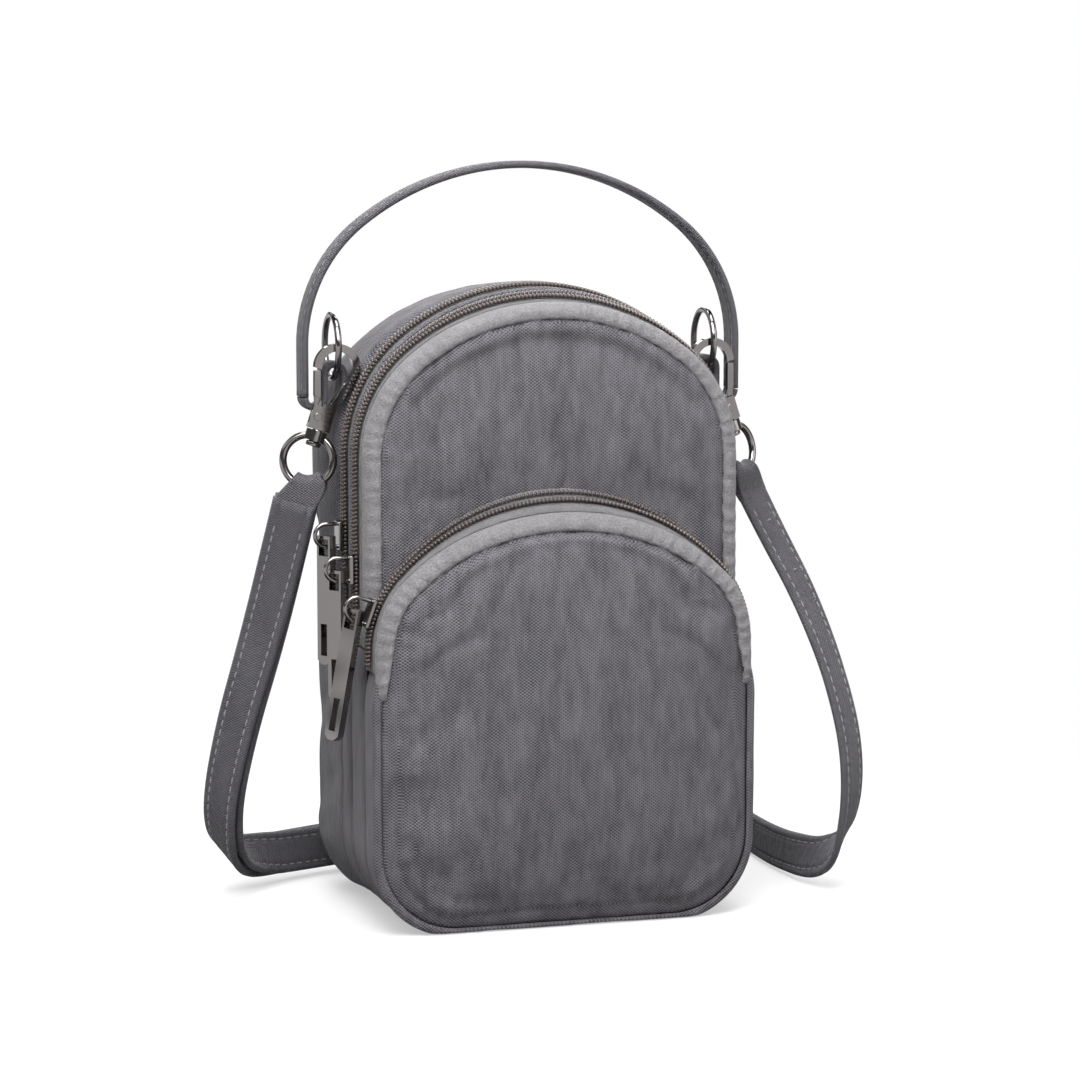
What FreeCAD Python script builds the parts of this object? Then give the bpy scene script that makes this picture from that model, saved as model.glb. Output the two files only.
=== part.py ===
import FreeCAD, Part
import math
import os

import Sketcher

Vector = FreeCAD.Vector
doc = FreeCAD.newDocument("phone_pouch")

# Driving dimensions in millimetres and degrees: alias, value, meaning.
sizes = [
    ("pouch_width", 122, "outside width across the side gussets"),
    ("pouch_height", 196, "base to the top of the dome"),
    ("base_corner", 26, "outside radius of the two bottom corners"),
    ("dome_rise", 50, "height of the dome above its springing line"),
    ("dome_side_radius", 44, "outside radius of the dome's shoulders"),
    ("pocket_top", 134, "base to the top of the front pocket"),
    ("pocket_rise", 46, "height of the pocket's arch above its springing line"),
    ("pocket_side_radius", 34, "outside radius of the pocket's shoulders"),
    ("pocket_depth", 15, "front pocket, from its panel to the front panel"),
    ("front_setback", 10, "front panel to the middle of the front zip"),
    ("zip_spacing", 15, "middle of the front zip to the middle of the rear zip"),
    ("back_depth", 44, "middle of the rear zip to the back of the pouch"),
    ("pocket_setback", 8.5, "pocket panel to the middle of the pocket zip"),
    ("zip_leg", 58, "springing line of the dome down to the ends of the two dome zips"),
    ("pocket_zip_leg", 6, "springing line of the pocket's arch down to the ends of its zip"),
    ("panel_swell", 5, "puff of the pocket's panel and of the back panel over their borders"),
    ("front_swell", 3, "puff of the front panel above the pocket"),
    ("gusset_swell", 3, "puff of the back gusset over its sewn edges"),
    ("gusset_swell_start", 13.5, "front edge of the back gusset to the start of its puff"),
    ("gusset_swell_end", 4, "end of that puff to the back panel"),
    ("swell_border", 2, "flat border of a puffed panel"),
    ("swell_shoulder", 8, "border of a puffed panel to the shoulder of its puff"),
    ("swell_crown", 22, "border of a puffed panel to the flat crown of its puff"),
    ("cloth", 1.2, "thickness of the padded nylon walls"),
    ("lining", 0.5, "thickness of the lining"),
    ("lining_inset", 3.6, "lining inside the outline of the pouch"),
    ("divider", 0.8, "thickness of the wall between the two compartments"),
    ("middle_strip", 3, "width of the strip between the two dome zips"),
    ("soft_gap", 0.3, "room left between soft pieces that lie on each other"),
    ("tape", 0.8, "thickness of a zip tape"),
    ("tape_reach", 6, "zip tape, from the middle of the zip to its edge"),
    ("front_tape_reach", 4, "front zip tape, from the middle of the zip to the edge tape"),
    ("zip_stop", 3, "closed length at each end of a zip"),
    ("edge_tape", 1, "thickness of the grey edge tape round a panel"),
    ("coil_width", 2, "width of one row of zip coil"),
    ("coil_height", 1.5, "height of the coil above its tape"),
    ("coil_gap", 0.9, "gap between the two rows of coil"),
    ("slider_length", 9, "length of a zip slider"),
    ("slider_width", 7, "width of a zip slider"),
    ("slider_plate", 1.2, "thickness of a slider's plates"),
    ("slider_web", 0.5, "thickness of the web between a slider's plates"),
    ("slider_gap", 0.35, "running gap of a slider over the coil and tape"),
    ("slider_inner_gap", 0.75, "running gap of a slider under the tape"),
    ("rear_slider_drop", 25, "springing line of the dome to the rear slider at rest"),
    ("front_slider_drop", 34, "springing line of the dome to the front slider at rest"),
    ("pocket_slider_angle", 20, "rest angle of the pocket slider round its shoulder"),
    ("bail_leg", 3.4, "straight leg of a slider's bail"),
    ("bail_radius", 3.6, "middle radius of a slider's bail"),
    ("bail_wire", 1.3, "wire diameter of a slider's bail"),
    ("pull_length", 41, "length of a zip pull"),
    ("pull_width", 5.6, "width of a zip pull"),
    ("pull_thickness", 2.8, "thickness of a zip pull"),
    ("pull_eye_width", 4, "width of the slot that a bail runs through"),
    ("pull_eye_height", 5.2, "height of the slot that a bail runs through"),
    ("pull_head", 1.1, "metal above that slot"),
    ("pull_play", 1.8, "room between a bail and the head of its pull"),
    ("pull_tip", 1.6, "corner cut off the end of a pull"),
    ("pull_window_width", 2.6, "width of the window near the end of a pull"),
    ("pull_window_height", 10, "height of that window"),
    ("pull_window_foot", 3, "metal below that window"),
    ("pull_turn", 35, "turn of a hanging pull towards the front"),
    ("handle_overhang", 12, "side of the pouch to the outside of the handle"),
    ("handle_clearance", 42, "top of the dome to the top of the handle"),
    ("handle_rise", 58, "height of the handle's arch above its springing line"),
    ("handle_side_radius", 50, "outside radius of the handle's shoulders"),
    ("handle_foot_rise", 18, "springing line of the dome to the foot of the handle"),
    ("handle_width", 10, "width of the handle and its tabs"),
    ("handle_thickness", 2.4, "thickness of the handle and its tabs"),
    ("handle_depth", 11, "middle of the handle behind the middle of the pouch"),
    ("tab_turn", 3.2, "middle radius of the turn at the foot of the handle"),
    ("tab_rise", 7, "foot of the handle to the middle of the ring in its tab"),
    ("ring_radius", 10, "middle radius of a ring"),
    ("ring_wire", 2.2, "wire diameter of a ring"),
    ("ring_room", 0.8, "room round a ring in its tab"),
    ("hook_setback", 0.85, "room between a hook and the edge of a tab"),
    ("hook_lean", 18, "lean of a hanging hook away from the pouch"),
    ("hook_radius", 7.4, "outside radius of a hook's bow"),
    ("hook_bow_height", 20.6, "foot of a hook to the middle of its bow"),
    ("hook_wall", 2.4, "width of a hook's wall"),
    ("hook_thickness", 2.8, "thickness of a hook"),
    ("hook_flare", 15, "angle below the middle of the bow where its legs start"),
    ("hook_throat", 2.4, "width of a hook's opening at its plate"),
    ("hook_plate_width", 7.2, "width of a hook's plate"),
    ("hook_plate_height", 7.4, "height of a hook's plate"),
    ("gate_thickness", 2.2, "thickness of a gate's bar"),
    ("gate_root", 1, "thickness of a gate between the cheeks of its plate"),
    ("gate_width", 2.2, "width of a gate"),
    ("gate_neck", 2.4, "plate of a hook to the full thickness of its gate"),
    ("gate_notch", 0.8, "how much lower the outer corner of a gate's end is"),
    ("gate_gap", 0.25, "room round a gate"),
    ("gate_pivot_height", 3.9, "foot of a hook to its gate's rivet"),
    ("gate_disc", 2.1, "radius of a gate round its rivet"),
    ("gate_pivot_offset", 1.4, "axis of a hook to its gate's rivet"),
    ("gate_rivet", 1.6, "diameter of a gate's rivet"),
    ("rivet_head", 0.4, "height of a gate rivet's heads"),
    ("gate_nose_height", 18.5, "foot of a hook to the end of its gate"),
    ("spring_wire", 0.35, "thickness of a gate's spring"),
    ("stud_radius", 1.6, "radius of a swivel stud"),
    ("stud_head", 2.4, "radius of a swivel stud's head"),
    ("stud_head_height", 1.5, "height of that head"),
    ("swivel_gap", 0.25, "running gap of a swivel"),
    ("running_gap", 0.08, "radial clearance of a stud or rivet in its hole"),
    ("collar_height", 3.4, "height of a swivel eye's collar"),
    ("collar_radius", 3.4, "outside radius of a swivel eye's collar"),
    ("eye_radius", 8, "middle radius of a swivel eye"),
    ("eye_wire", 2.4, "wire diameter of a swivel eye"),
    ("left_eye_turn", -20, "turn of the left eye from facing the front"),
    ("right_eye_turn", 35, "turn of the right eye from facing the front"),
    ("strap_width", 14, "width of the shoulder strap"),
    ("strap_thickness", 2.6, "thickness of the shoulder strap"),
    ("strap_fold", 10, "width of the strap where it folds over an eye"),
    ("strap_ply", 1.6, "thickness of the strap's wall round an eye"),
    ("strap_gap", 0.9, "room between the two layers of the strap"),
    ("adjuster_length", 12, "length of the strap adjuster"),
    ("adjuster_wall", 2, "wall of the strap adjuster"),
]

sheet = doc.addObject("Spreadsheet::Sheet", "dims")
for row, (alias, value, meaning) in enumerate(sizes, start=1):
    sheet.set(f"A{row}", meaning)
    sheet.set(f"B{row}", str(value))
    sheet.setAlias(f"B{row}", alias)
doc.recompute()


def amount(expression):
    return float(sheet.evalExpression(expression))


nodes = []


def keep(item, label):
    item.Label = label
    nodes.append(item)
    return item


def origin_plane(body, role):
    return [plane for plane in body.Origin.OriginFeatures if plane.Role == role][0]


# A profile is a list of corners: (x, height), or (x, height, centre x, centre height, turn) where an arc
# about that centre leads to the corner. Every entry is an expression of the sheet, and turn is 1 where the
# arc runs anticlockwise and -1 where it runs clockwise.
def draw(sketch, profile):
    corners = [Vector(amount(corner[0]), amount(corner[1]), 0) for corner in profile]
    first = sketch.GeometryCount
    for number, corner in enumerate(profile):
        start, end = corners[number - 1], corners[number]
        if len(corner) == 2:
            sketch.addGeometry(Part.LineSegment(start, end), False)
            continue
        centre = Vector(amount(corner[2]), amount(corner[3]), 0)
        low, high = (start, end) if corner[4] > 0 else (end, start)
        circle = Part.Circle(centre, Vector(0, 0, 1), (start - centre).Length)
        angles = [math.atan2(point.y - centre.y, point.x - centre.x) for point in (low, high)]
        sketch.addGeometry(Part.ArcOfCircle(circle, angles[0], angles[1]), False)
    for number, corner in enumerate(profile):
        edge = first + number
        following = first + (number + 1) % len(profile)
        ends = 2 if len(corner) == 2 or corner[4] > 0 else 1
        after = profile[(number + 1) % len(profile)]
        starts = 1 if len(after) == 2 or after[4] > 0 else 2
        sketch.addConstraint(Sketcher.Constraint("Coincident", edge, ends, following, starts))
        for axis, expression in zip(("DistanceX", "DistanceY"), corner):
            place = sketch.addConstraint(Sketcher.Constraint(axis, -1, 1, edge, ends, amount(expression)))
            sketch.setExpression(f"Constraints[{place}]", expression)
        if len(corner) > 2:
            chord = corners[number] - corners[number - 1]
            flat = abs(chord.x) > abs(chord.y)
            axis, expression = ("DistanceY", corner[3]) if flat else ("DistanceX", corner[2])
            place = sketch.addConstraint(Sketcher.Constraint(axis, -1, 1, edge, 3, amount(expression)))
            sketch.setExpression(f"Constraints[{place}]", expression)


# A circle is given by the x and height of its centre and its radius.
def draw_circle(sketch, x, height, radius):
    circle = Part.Circle(Vector(amount(x), amount(height), 0), Vector(0, 0, 1), amount(radius))
    edge = sketch.addGeometry(circle, False)
    for axis, expression in (("DistanceX", x), ("DistanceY", height)):
        place = sketch.addConstraint(Sketcher.Constraint(axis, -1, 1, edge, 3, amount(expression)))
        sketch.setExpression(f"Constraints[{place}]", expression)
    place = sketch.addConstraint(Sketcher.Constraint("Radius", edge, amount(radius)))
    sketch.setExpression(f"Constraints[{place}]", radius)


def sketch_in(body, name, profiles, role="XZ_Plane", level="0", circles=()):
    sketch = body.newObject("Sketcher::SketchObject", name)
    sketch.AttachmentSupport = [(origin_plane(body, role), "")]
    sketch.MapMode = "FlatFace"
    sketch.AttachmentOffset = FreeCAD.Placement(Vector(0, 0, amount(level)), FreeCAD.Rotation())
    sketch.setExpression("AttachmentOffset.Base.z", level)
    for profile in profiles:
        draw(sketch, profile)
    for circle in circles:
        draw_circle(sketch, *circle)
    return sketch


def pad(body, sketch, length, both_ways=False):
    feature = body.newObject("PartDesign::Pad", "Pad")
    feature.Profile = sketch
    feature.Length = amount(length)
    feature.setExpression("Length", length)
    feature.Midplane = both_ways
    doc.recompute()
    return feature


def pocket(body, sketch, length, both_ways=False):
    before = body.Shape.Volume
    feature = body.newObject("PartDesign::Pocket", "Pocket")
    feature.Profile = sketch
    feature.Length = amount(length)
    feature.setExpression("Length", length)
    feature.Midplane = both_ways
    feature.Reversed = not both_ways
    doc.recompute()
    assert body.Shape.Volume < before - 0.01, f"{sketch.Name} cuts nothing"
    return feature


# The XZ plane faces -Y, so a sketch stands at minus its depth and a pad grows from back to front.
def plate(label, profiles, front, back):
    body = doc.addObject("PartDesign::Body", label)
    sketch = sketch_in(body, "Outline", profiles, level=f"-({back})")
    pad(body, sketch, f"({back}) - ({front})")
    return keep(body, label)


# A puff on a panel: its outline at a border, a shoulder and a crown, each further out than the last.
def puff(body, shape, face, way, swell="dims.panel_swell"):
    sections = []
    for inset, share in (("dims.swell_border", 0), ("dims.swell_shoulder", 0.65), ("dims.swell_crown", 1)):
        level = f"-({face}) - {way} * {share} * {swell}"
        sections.append(sketch_in(body, "Puff", [shape.outline(inset)], level=level))
    loft(body, sections)


def loft(body, sections):
    feature = body.newObject("PartDesign::AdditiveLoft", "Swell")
    feature.Profile = sections[0]
    feature.Sections = sections[1:]
    doc.recompute()


# Places from front to back.
depth = "(dims.pocket_depth + dims.front_setback + dims.zip_spacing + dims.back_depth)"
pocket_face = f"(-{depth} / 2)"
panel_face = f"({pocket_face} + dims.pocket_depth)"
pocket_zip = f"({pocket_face} + dims.pocket_setback)"
front_zip = f"({panel_face} + dims.front_setback)"
rear_zip = f"({front_zip} + dims.zip_spacing)"
back_face = f"({depth} / 2)"
strip_middle = f"(({front_zip} + {rear_zip}) / 2)"
strip_front = f"({strip_middle} - dims.middle_strip / 2)"
strip_back = f"({strip_middle} + dims.middle_strip / 2)"
half = "(dims.pouch_width / 2)"


# An arch of three tangent arcs on straight sides: half width, springing height, rise and shoulder radius.
class Arch:
    def __init__(self, half_width, top, rise, shoulder):
        self.half_width = half_width
        self.top = top
        self.shoulder = shoulder
        self.spring = f"({top} - {rise})"
        self.shoulder_x = f"({half_width} - {shoulder})"
        self.crown = (
            f"((({self.shoulder_x})^2 + {rise}^2 - {shoulder}^2) / (2 * ({rise} - {shoulder})))"
        )
        self.crown_z = f"({top} - {self.crown})"
        self.lean = f"({self.shoulder_x} / ({self.crown} - {shoulder}))"

    # The corners over the top at an inset, clockwise from the left foot to the right one.
    def over(self, inset, foot):
        side = f"({self.half_width} - ({inset}))"
        across = f"(({self.crown} - ({inset})) * {self.lean})"
        up = f"({self.crown_z} + ({self.crown} - ({inset})) * sqrt(1 - {self.lean}^2))"
        return [
            (f"-{side}", foot),
            (f"-{side}", self.spring),
            (f"-{across}", up, f"-{self.shoulder_x}", self.spring, -1),
            (across, up, "0", self.crown_z, -1),
            (side, self.spring, self.shoulder_x, self.spring, -1),
            (side, foot),
        ]

    # The same corners the other way round, to close a band.
    def back_over(self, inset, foot):
        way = self.over(inset, foot)
        turned = [way[-1]]
        for corner, before in zip(reversed(way[:-1]), reversed(way)):
            turned.append(corner[:2] + before[2:4] + (1,) if len(before) > 2 else corner[:2])
        return turned

    def band(self, outside, inside, foot):
        return self.over(outside, foot) + self.back_over(inside, foot)

    # The closed outline with rounded bottom corners.
    def outline(self, inset):
        turn_x = f"({self.half_width} - dims.base_corner)"
        way = self.over(inset, "dims.base_corner")
        way[0] = way[0] + (f"-{turn_x}", "dims.base_corner", -1)
        return way + [(turn_x, inset, turn_x, "dims.base_corner", -1), (f"-{turn_x}", inset)]

    # The band under the rim: down the left side, along the base and up the right side.
    def cup(self, outside, inside, rim):
        turn_x = f"({self.half_width} - dims.base_corner)"
        wide = f"({self.half_width} - ({outside}))"
        narrow = f"({self.half_width} - ({inside}))"
        corner = "dims.base_corner"
        return [
            (f"-{wide}", rim),
            (f"-{wide}", corner),
            (f"-{turn_x}", outside, f"-{turn_x}", corner, 1),
            (turn_x, outside),
            (wide, corner, turn_x, corner, 1),
            (wide, rim),
            (narrow, rim),
            (narrow, corner),
            (turn_x, inside, turn_x, corner, -1),
            (f"-{turn_x}", inside),
            (f"-{narrow}", corner, f"-{turn_x}", corner, -1),
            (f"-{narrow}", rim),
        ]


    # The room inside a lining: the rounded foot below the rim, and everything above it.
    def hollow(self, inset, rim):
        turn_x = f"({self.half_width} - dims.base_corner)"
        side = f"({self.half_width} - ({inset}))"
        corner = "dims.base_corner"
        clear = f"({self.half_width} + 1)"
        over = f"({self.top} + 1)"
        return [
            (f"-{side}", corner, f"-{turn_x}", corner, -1),
            (f"-{side}", rim),
            (f"-{clear}", rim),
            (f"-{clear}", over),
            (clear, over),
            (clear, rim),
            (side, rim),
            (side, corner),
            (turn_x, inset, turn_x, corner, -1),
            (f"-{turn_x}", inset),
        ]


dome = Arch(half, "dims.pouch_height", "dims.dome_rise", "dims.dome_side_radius")
arch = Arch(half, "dims.pocket_top", "dims.pocket_rise", "dims.pocket_side_radius")
inside = "(dims.cloth + dims.soft_gap)"
zip_end = f"({dome.spring} - dims.zip_leg)"
pocket_zip_end = f"({arch.spring} - dims.pocket_zip_leg)"
rim = f"({zip_end} - dims.soft_gap)"
pocket_rim = f"({pocket_zip_end} - dims.soft_gap)"
front_tape_edge = f"({front_zip} - dims.front_tape_reach)"
rear_tape_edge = f"({rear_zip} + dims.tape_reach)"
pocket_tape_edge = f"({pocket_zip} - dims.tape_reach)"
back_inside = f"({back_face} - dims.cloth)"
pocket_inside = f"({pocket_face} + dims.cloth)"

# Panels, gussets and edge tapes.
ring = [dome.outline("0"), dome.outline("dims.cloth")]
back_panel = plate("back_panel", [dome.outline("0")], back_inside, back_face)
puff(back_panel, dome, back_face, 1)
back_gusset = plate("back_gusset", ring, rear_tape_edge, back_inside)
swell_front = f"({rear_tape_edge} + dims.gusset_swell_start)"
swell_back = f"({back_inside} - dims.gusset_swell_end)"
belly = Arch(
    f"({half} + dims.gusset_swell)",
    "(dims.pouch_height + dims.gusset_swell)",
    "(dims.dome_rise + dims.gusset_swell)",
    "(dims.dome_side_radius + dims.gusset_swell)",
)
sections = []
swell_middle = f"(({swell_front} + {swell_back}) / 2)"
for shape, place in ((dome, swell_back), (belly, swell_middle), (dome, swell_front)):
    sections.append(sketch_in(back_gusset, "Puff", [shape.outline("0")], level=f"-({place})"))
loft(back_gusset, sections)
room = sketch_in(back_gusset, "Room", [dome.outline("dims.cloth")], level=f"-({swell_back})")
pocket(back_gusset, room, f"{swell_back} - {swell_front}")
plate("middle_strip", ring, strip_front, strip_back)
divider_front = f"{strip_middle} - dims.divider / 2"
divider_back = f"{strip_middle} + dims.divider / 2"
plate("divider_panel", [dome.outline(inside)], divider_front, divider_back)
plate("front_edge_tape", [dome.band("0", "dims.edge_tape", zip_end)], panel_face, front_tape_edge)
front_panel = plate("front_panel", [dome.outline(inside)], panel_face, f"{panel_face} + dims.cloth")
puff(front_panel, dome, panel_face, -1, "dims.front_swell")
beside = sketch_in(front_panel, "Beside", [arch.outline("(-2 * dims.soft_gap)")], level=f"-({panel_face})")
pocket(front_panel, beside, "dims.front_swell + 1")
plate("rear_lower_gusset", [dome.cup("0", "dims.cloth", rim)], strip_back, rear_tape_edge)
plate("front_lower_gusset", [dome.cup("0", "dims.cloth", rim)], panel_face, strip_front)
plate("pocket_gusset", [arch.cup("0", "dims.cloth", pocket_rim)], pocket_inside, panel_face)
pocket_band = arch.band("0", "dims.edge_tape", pocket_zip_end)
plate("pocket_edge_tape", [pocket_band], pocket_inside, pocket_tape_edge)
pocket_panel = plate("pocket_panel", [arch.outline("0")], pocket_face, pocket_inside)
puff(pocket_panel, arch, pocket_face, -1)


# A zip tape with its coil. Both are slit along the middle between their closed ends.
def zip_chain(name, shape, foot, middle, front, back):
    stop = f"({foot} + dims.zip_stop)"
    slit = shape.band("-dims.coil_height - 1", "dims.tape + 1", stop)
    reach = "(dims.coil_gap / 2 + dims.coil_width)"
    for label, outside, inner, near, far in (
        (f"{name}_zip_tape", "0", "dims.tape", front, back),
        (f"{name}_zip_coil", "-dims.coil_height", "0", f"{middle} - {reach}", f"{middle} + {reach}"),
    ):
        body = plate(label, [shape.band(outside, inner, foot)], near, far)
        cut = sketch_in(body, "Slit", [slit], level=f"-({middle} + dims.coil_gap / 2)")
        pocket(body, cut, "dims.coil_gap")


zip_chain("rear", dome, zip_end, rear_zip, strip_back, rear_tape_edge)
zip_chain("front", dome, zip_end, front_zip, front_tape_edge, strip_front)
pocket_tape_back = f"{panel_face} - 2 * dims.soft_gap"
zip_chain("pocket", arch, pocket_zip_end, pocket_zip, pocket_tape_edge, pocket_tape_back)


# A lining bag: closed below the rim, two loose walls above it.
def lining_bag(name, shape, foot, front, back):
    body = plate(f"{name}_lining", [shape.outline("dims.lining_inset")], front, back)
    room = shape.hollow("dims.lining_inset + dims.lining", foot)
    cut = sketch_in(body, "Room", [room], level=f"-({back} - dims.lining)")
    pocket(body, cut, f"{back} - ({front}) - 2 * dims.lining")


divider_room = "(dims.divider / 2 + dims.soft_gap)"
lining_bag("rear", dome, rim, f"{strip_middle} + {divider_room}", f"{back_inside} - dims.soft_gap")
lining_bag("main", dome, rim, f"{panel_face} + {inside}", f"{strip_middle} - {divider_room}")
lining_bag("pocket", arch, pocket_rim, f"{pocket_inside} + dims.soft_gap", f"{panel_face} - dims.soft_gap")

up = Vector(0, 0, 1)
along_y = Vector(0, 1, 0)


def spot(base, x, y, z, rotation=FreeCAD.Rotation()):
    return base.multiply(FreeCAD.Placement(Vector(x, y, z), rotation))


def primitive(kind, name, place, **values):
    item = doc.addObject(f"Part::{kind}", name)
    for value, expression in values.items():
        item.setExpression(value, expression)
    item.Placement = place
    return item


def fuse(label, items):
    whole = doc.addObject("Part::MultiFuse", label)
    whole.Shapes = items
    return whole


def cut_from(label, base, tool):
    rest = doc.addObject("Part::Cut", label)
    rest.Base = base
    rest.Tool = tool
    return rest


def box_profile(left, low, right, high):
    return [(left, low), (right, low), (right, high), (left, high)]


# A slider on the left side of the pouch. Its own x points away from the zip and its z along the zip.
plate_low = "(dims.coil_height + dims.slider_gap)"
plate_top = f"({plate_low} + dims.slider_plate)"
foot_top = "(-dims.tape - dims.slider_inner_gap)"
foot_low = f"({foot_top} - dims.slider_plate)"
bail_out = amount(f"{plate_top} + dims.bail_leg")
bail_radius = amount("dims.bail_radius")
outward = FreeCAD.Rotation(up, 180)


def slider_set(name, x, y, z, lean):
    base = FreeCAD.Placement(Vector(x, y, z), FreeCAD.Rotation(along_y, lean).multiply(outward))
    wide = "(dims.slider_width / 2)"
    web = "(dims.slider_web / 2)"
    body = doc.addObject("PartDesign::Body", f"{name}_slider")
    section = sketch_in(body, "Section", [[
        (foot_low, f"-{wide}"),
        (foot_top, f"-{wide}"),
        (foot_top, f"-{web}"),
        (plate_low, f"-{web}"),
        (plate_low, f"-{wide}"),
        (plate_top, f"-{wide}"),
        (plate_top, wide),
        (plate_low, wide),
        (plate_low, web),
        (foot_top, web),
        (foot_top, wide),
        (foot_low, wide),
    ]], role="XY_Plane")
    pad(body, section, "dims.slider_length", both_ways=True)
    body.Placement = base
    keep(body, f"{name}_slider")

    out = FreeCAD.Rotation(along_y, 90)
    legs = []
    for end in (-1, 1):
        place = spot(base, amount(plate_top), 0, end * bail_radius, out)
        legs.append(primitive("Cylinder", "Leg", place, Radius="dims.bail_wire / 2", Height="dims.bail_leg"))
    bent = FreeCAD.Rotation(Vector(0, 0, -1), Vector(1, 0, 0), Vector(0, -1, 0), "XYZ")
    bow_place = spot(base, bail_out, 0, 0, bent)
    bow = primitive(
        "Torus", "Bow", bow_place, Radius1="dims.bail_radius", Radius2="dims.bail_wire / 2"
    )
    bow.Angle3 = 180
    keep(fuse(f"{name}_bail", legs + [bow]), f"{name}_bail")

    slot_top = "(dims.bail_wire / 2 + dims.pull_play)"
    top = f"({slot_top} + dims.pull_head)"
    low = f"({top} - dims.pull_length)"
    side = "(dims.pull_width / 2)"
    tip = "dims.pull_tip"
    body = doc.addObject("PartDesign::Body", f"{name}_pull")
    window = f"({low} + dims.pull_window_foot)"
    face = sketch_in(body, "Face", [
        [
            (f"-{side}", top),
            (f"-{side}", f"{low} + {tip}"),
            (f"-{side} + {tip}", low),
            (f"{side} - {tip}", low),
            (side, f"{low} + {tip}"),
            (side, top),
        ],
        box_profile("-dims.pull_eye_width / 2", f"{slot_top} - dims.pull_eye_height",
                    "dims.pull_eye_width / 2", slot_top),
        box_profile("-dims.pull_window_width / 2", window,
                    "dims.pull_window_width / 2", f"{window} + dims.pull_window_height"),
    ])
    pad(body, face, "dims.pull_thickness", both_ways=True)
    hang = spot(base, bail_out, 0, -bail_radius).Base
    turned = FreeCAD.Rotation(up, 90 + amount("dims.pull_turn"))
    body.Placement = FreeCAD.Placement(hang, FreeCAD.Rotation(along_y, lean / 2).multiply(turned))
    keep(body, f"{name}_pull")
    centre = spot(base, bail_out, 0, 0).Base
    print(f"{name} bail centre", [round(value, 3) for value in centre])


slider_set("rear", -amount(half), amount(rear_zip), amount(f"{dome.spring} - dims.rear_slider_drop"), 0)
slider_set("front", -amount(half), amount(front_zip), amount(f"{dome.spring} - dims.front_slider_drop"), 0)
slide_angle = math.radians(amount("dims.pocket_slider_angle"))
slider_set(
    "pocket",
    -amount(arch.shoulder_x) - amount("dims.pocket_side_radius") * math.cos(slide_angle),
    amount(pocket_zip),
    amount(arch.spring) + amount("dims.pocket_side_radius") * math.sin(slide_angle),
    amount("dims.pocket_slider_angle"),
)

# The handle, the tabs that it ends in and the rings that the tabs hold.
handle_half = f"({half} + dims.handle_overhang)"
handle_top = "(dims.pouch_height + dims.handle_clearance)"
handle_foot = f"({dome.spring} + dims.handle_foot_rise)"
bow = Arch(handle_half, handle_top, "dims.handle_rise", "dims.handle_side_radius")
handle_front = "dims.handle_depth - dims.handle_width / 2"
handle_back = "dims.handle_depth + dims.handle_width / 2"
handle = plate("handle", [bow.band("0", "dims.handle_thickness", handle_foot)], handle_front, handle_back)
wide = "dims.handle_width / 2"
swing = f"({handle_foot} + dims.handle_width / 2)"
rounding = [
    (f"dims.handle_depth - {wide}", swing, "dims.handle_depth", swing, -1),
    (f"dims.handle_depth - {wide} - 1", swing),
    (f"dims.handle_depth - {wide} - 1", f"{handle_foot} - 1"),
    (f"dims.handle_depth + {wide} + 1", f"{handle_foot} - 1"),
    (f"dims.handle_depth + {wide} + 1", swing),
    (f"dims.handle_depth + {wide}", swing),
]
cut = sketch_in(handle, "Rounding", [rounding], role="YZ_Plane")
pocket(handle, cut, f"2 * {handle_half} + 20", both_ways=True)
bore = "(dims.ring_wire / 2 + dims.ring_room)"
bore_mid = f"({bore} + dims.handle_thickness / 2)"
leg_mid = f"({handle_half} - dims.handle_thickness / 2)"
inner_mid = f"({leg_mid} - 2 * dims.tab_turn)"
ring_x = f"({inner_mid} - {bore_mid})"
ring_height = f"({handle_foot} + dims.tab_rise)"
sewn_out = f"({ring_x} - {bore})"
sewn_in = f"({sewn_out} - dims.handle_thickness)"
reach = f"({sewn_in} - dims.soft_gap - {dome.shoulder_x})"
sewn_foot = f"({dome.spring} + sqrt(dims.dome_side_radius^2 - {reach}^2))"
tab_foot = f"({handle_foot} - dims.soft_gap)"


def tab_profile(sign):
    thick = "dims.handle_thickness / 2"
    turn_x = f"({leg_mid} - dims.tab_turn)"
    corners = [
        (sewn_in, sewn_foot),
        (sewn_in, ring_height),
        (f"({inner_mid} + {thick})", ring_height, ring_x, ring_height, -1),
        (f"({inner_mid} + {thick})", tab_foot),
        (f"({leg_mid} - {thick})", tab_foot, turn_x, tab_foot, 1),
        (f"({leg_mid} + {thick})", tab_foot),
        (f"({inner_mid} - {thick})", tab_foot, turn_x, tab_foot, -1),
        (f"({inner_mid} - {thick})", ring_height),
        (sewn_out, ring_height, ring_x, ring_height, 1),
        (sewn_out, sewn_foot),
    ]
    if sign > 0:
        return corners
    flipped = []
    for corner in corners:
        flipped.append((f"-{corner[0]}", corner[1]))
        if len(corner) > 2:
            flipped[-1] += (f"-{corner[2]}", corner[3], -corner[4])
    return flipped


ring_drop = "(dims.ring_radius - sqrt(dims.ring_radius^2 - (dims.handle_width / 2)^2))"
ring_foot = f"({ring_height} - {ring_drop})"
hook_depth = "(dims.handle_depth - dims.handle_width / 2 - dims.hook_setback - dims.hook_thickness / 2)"


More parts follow.
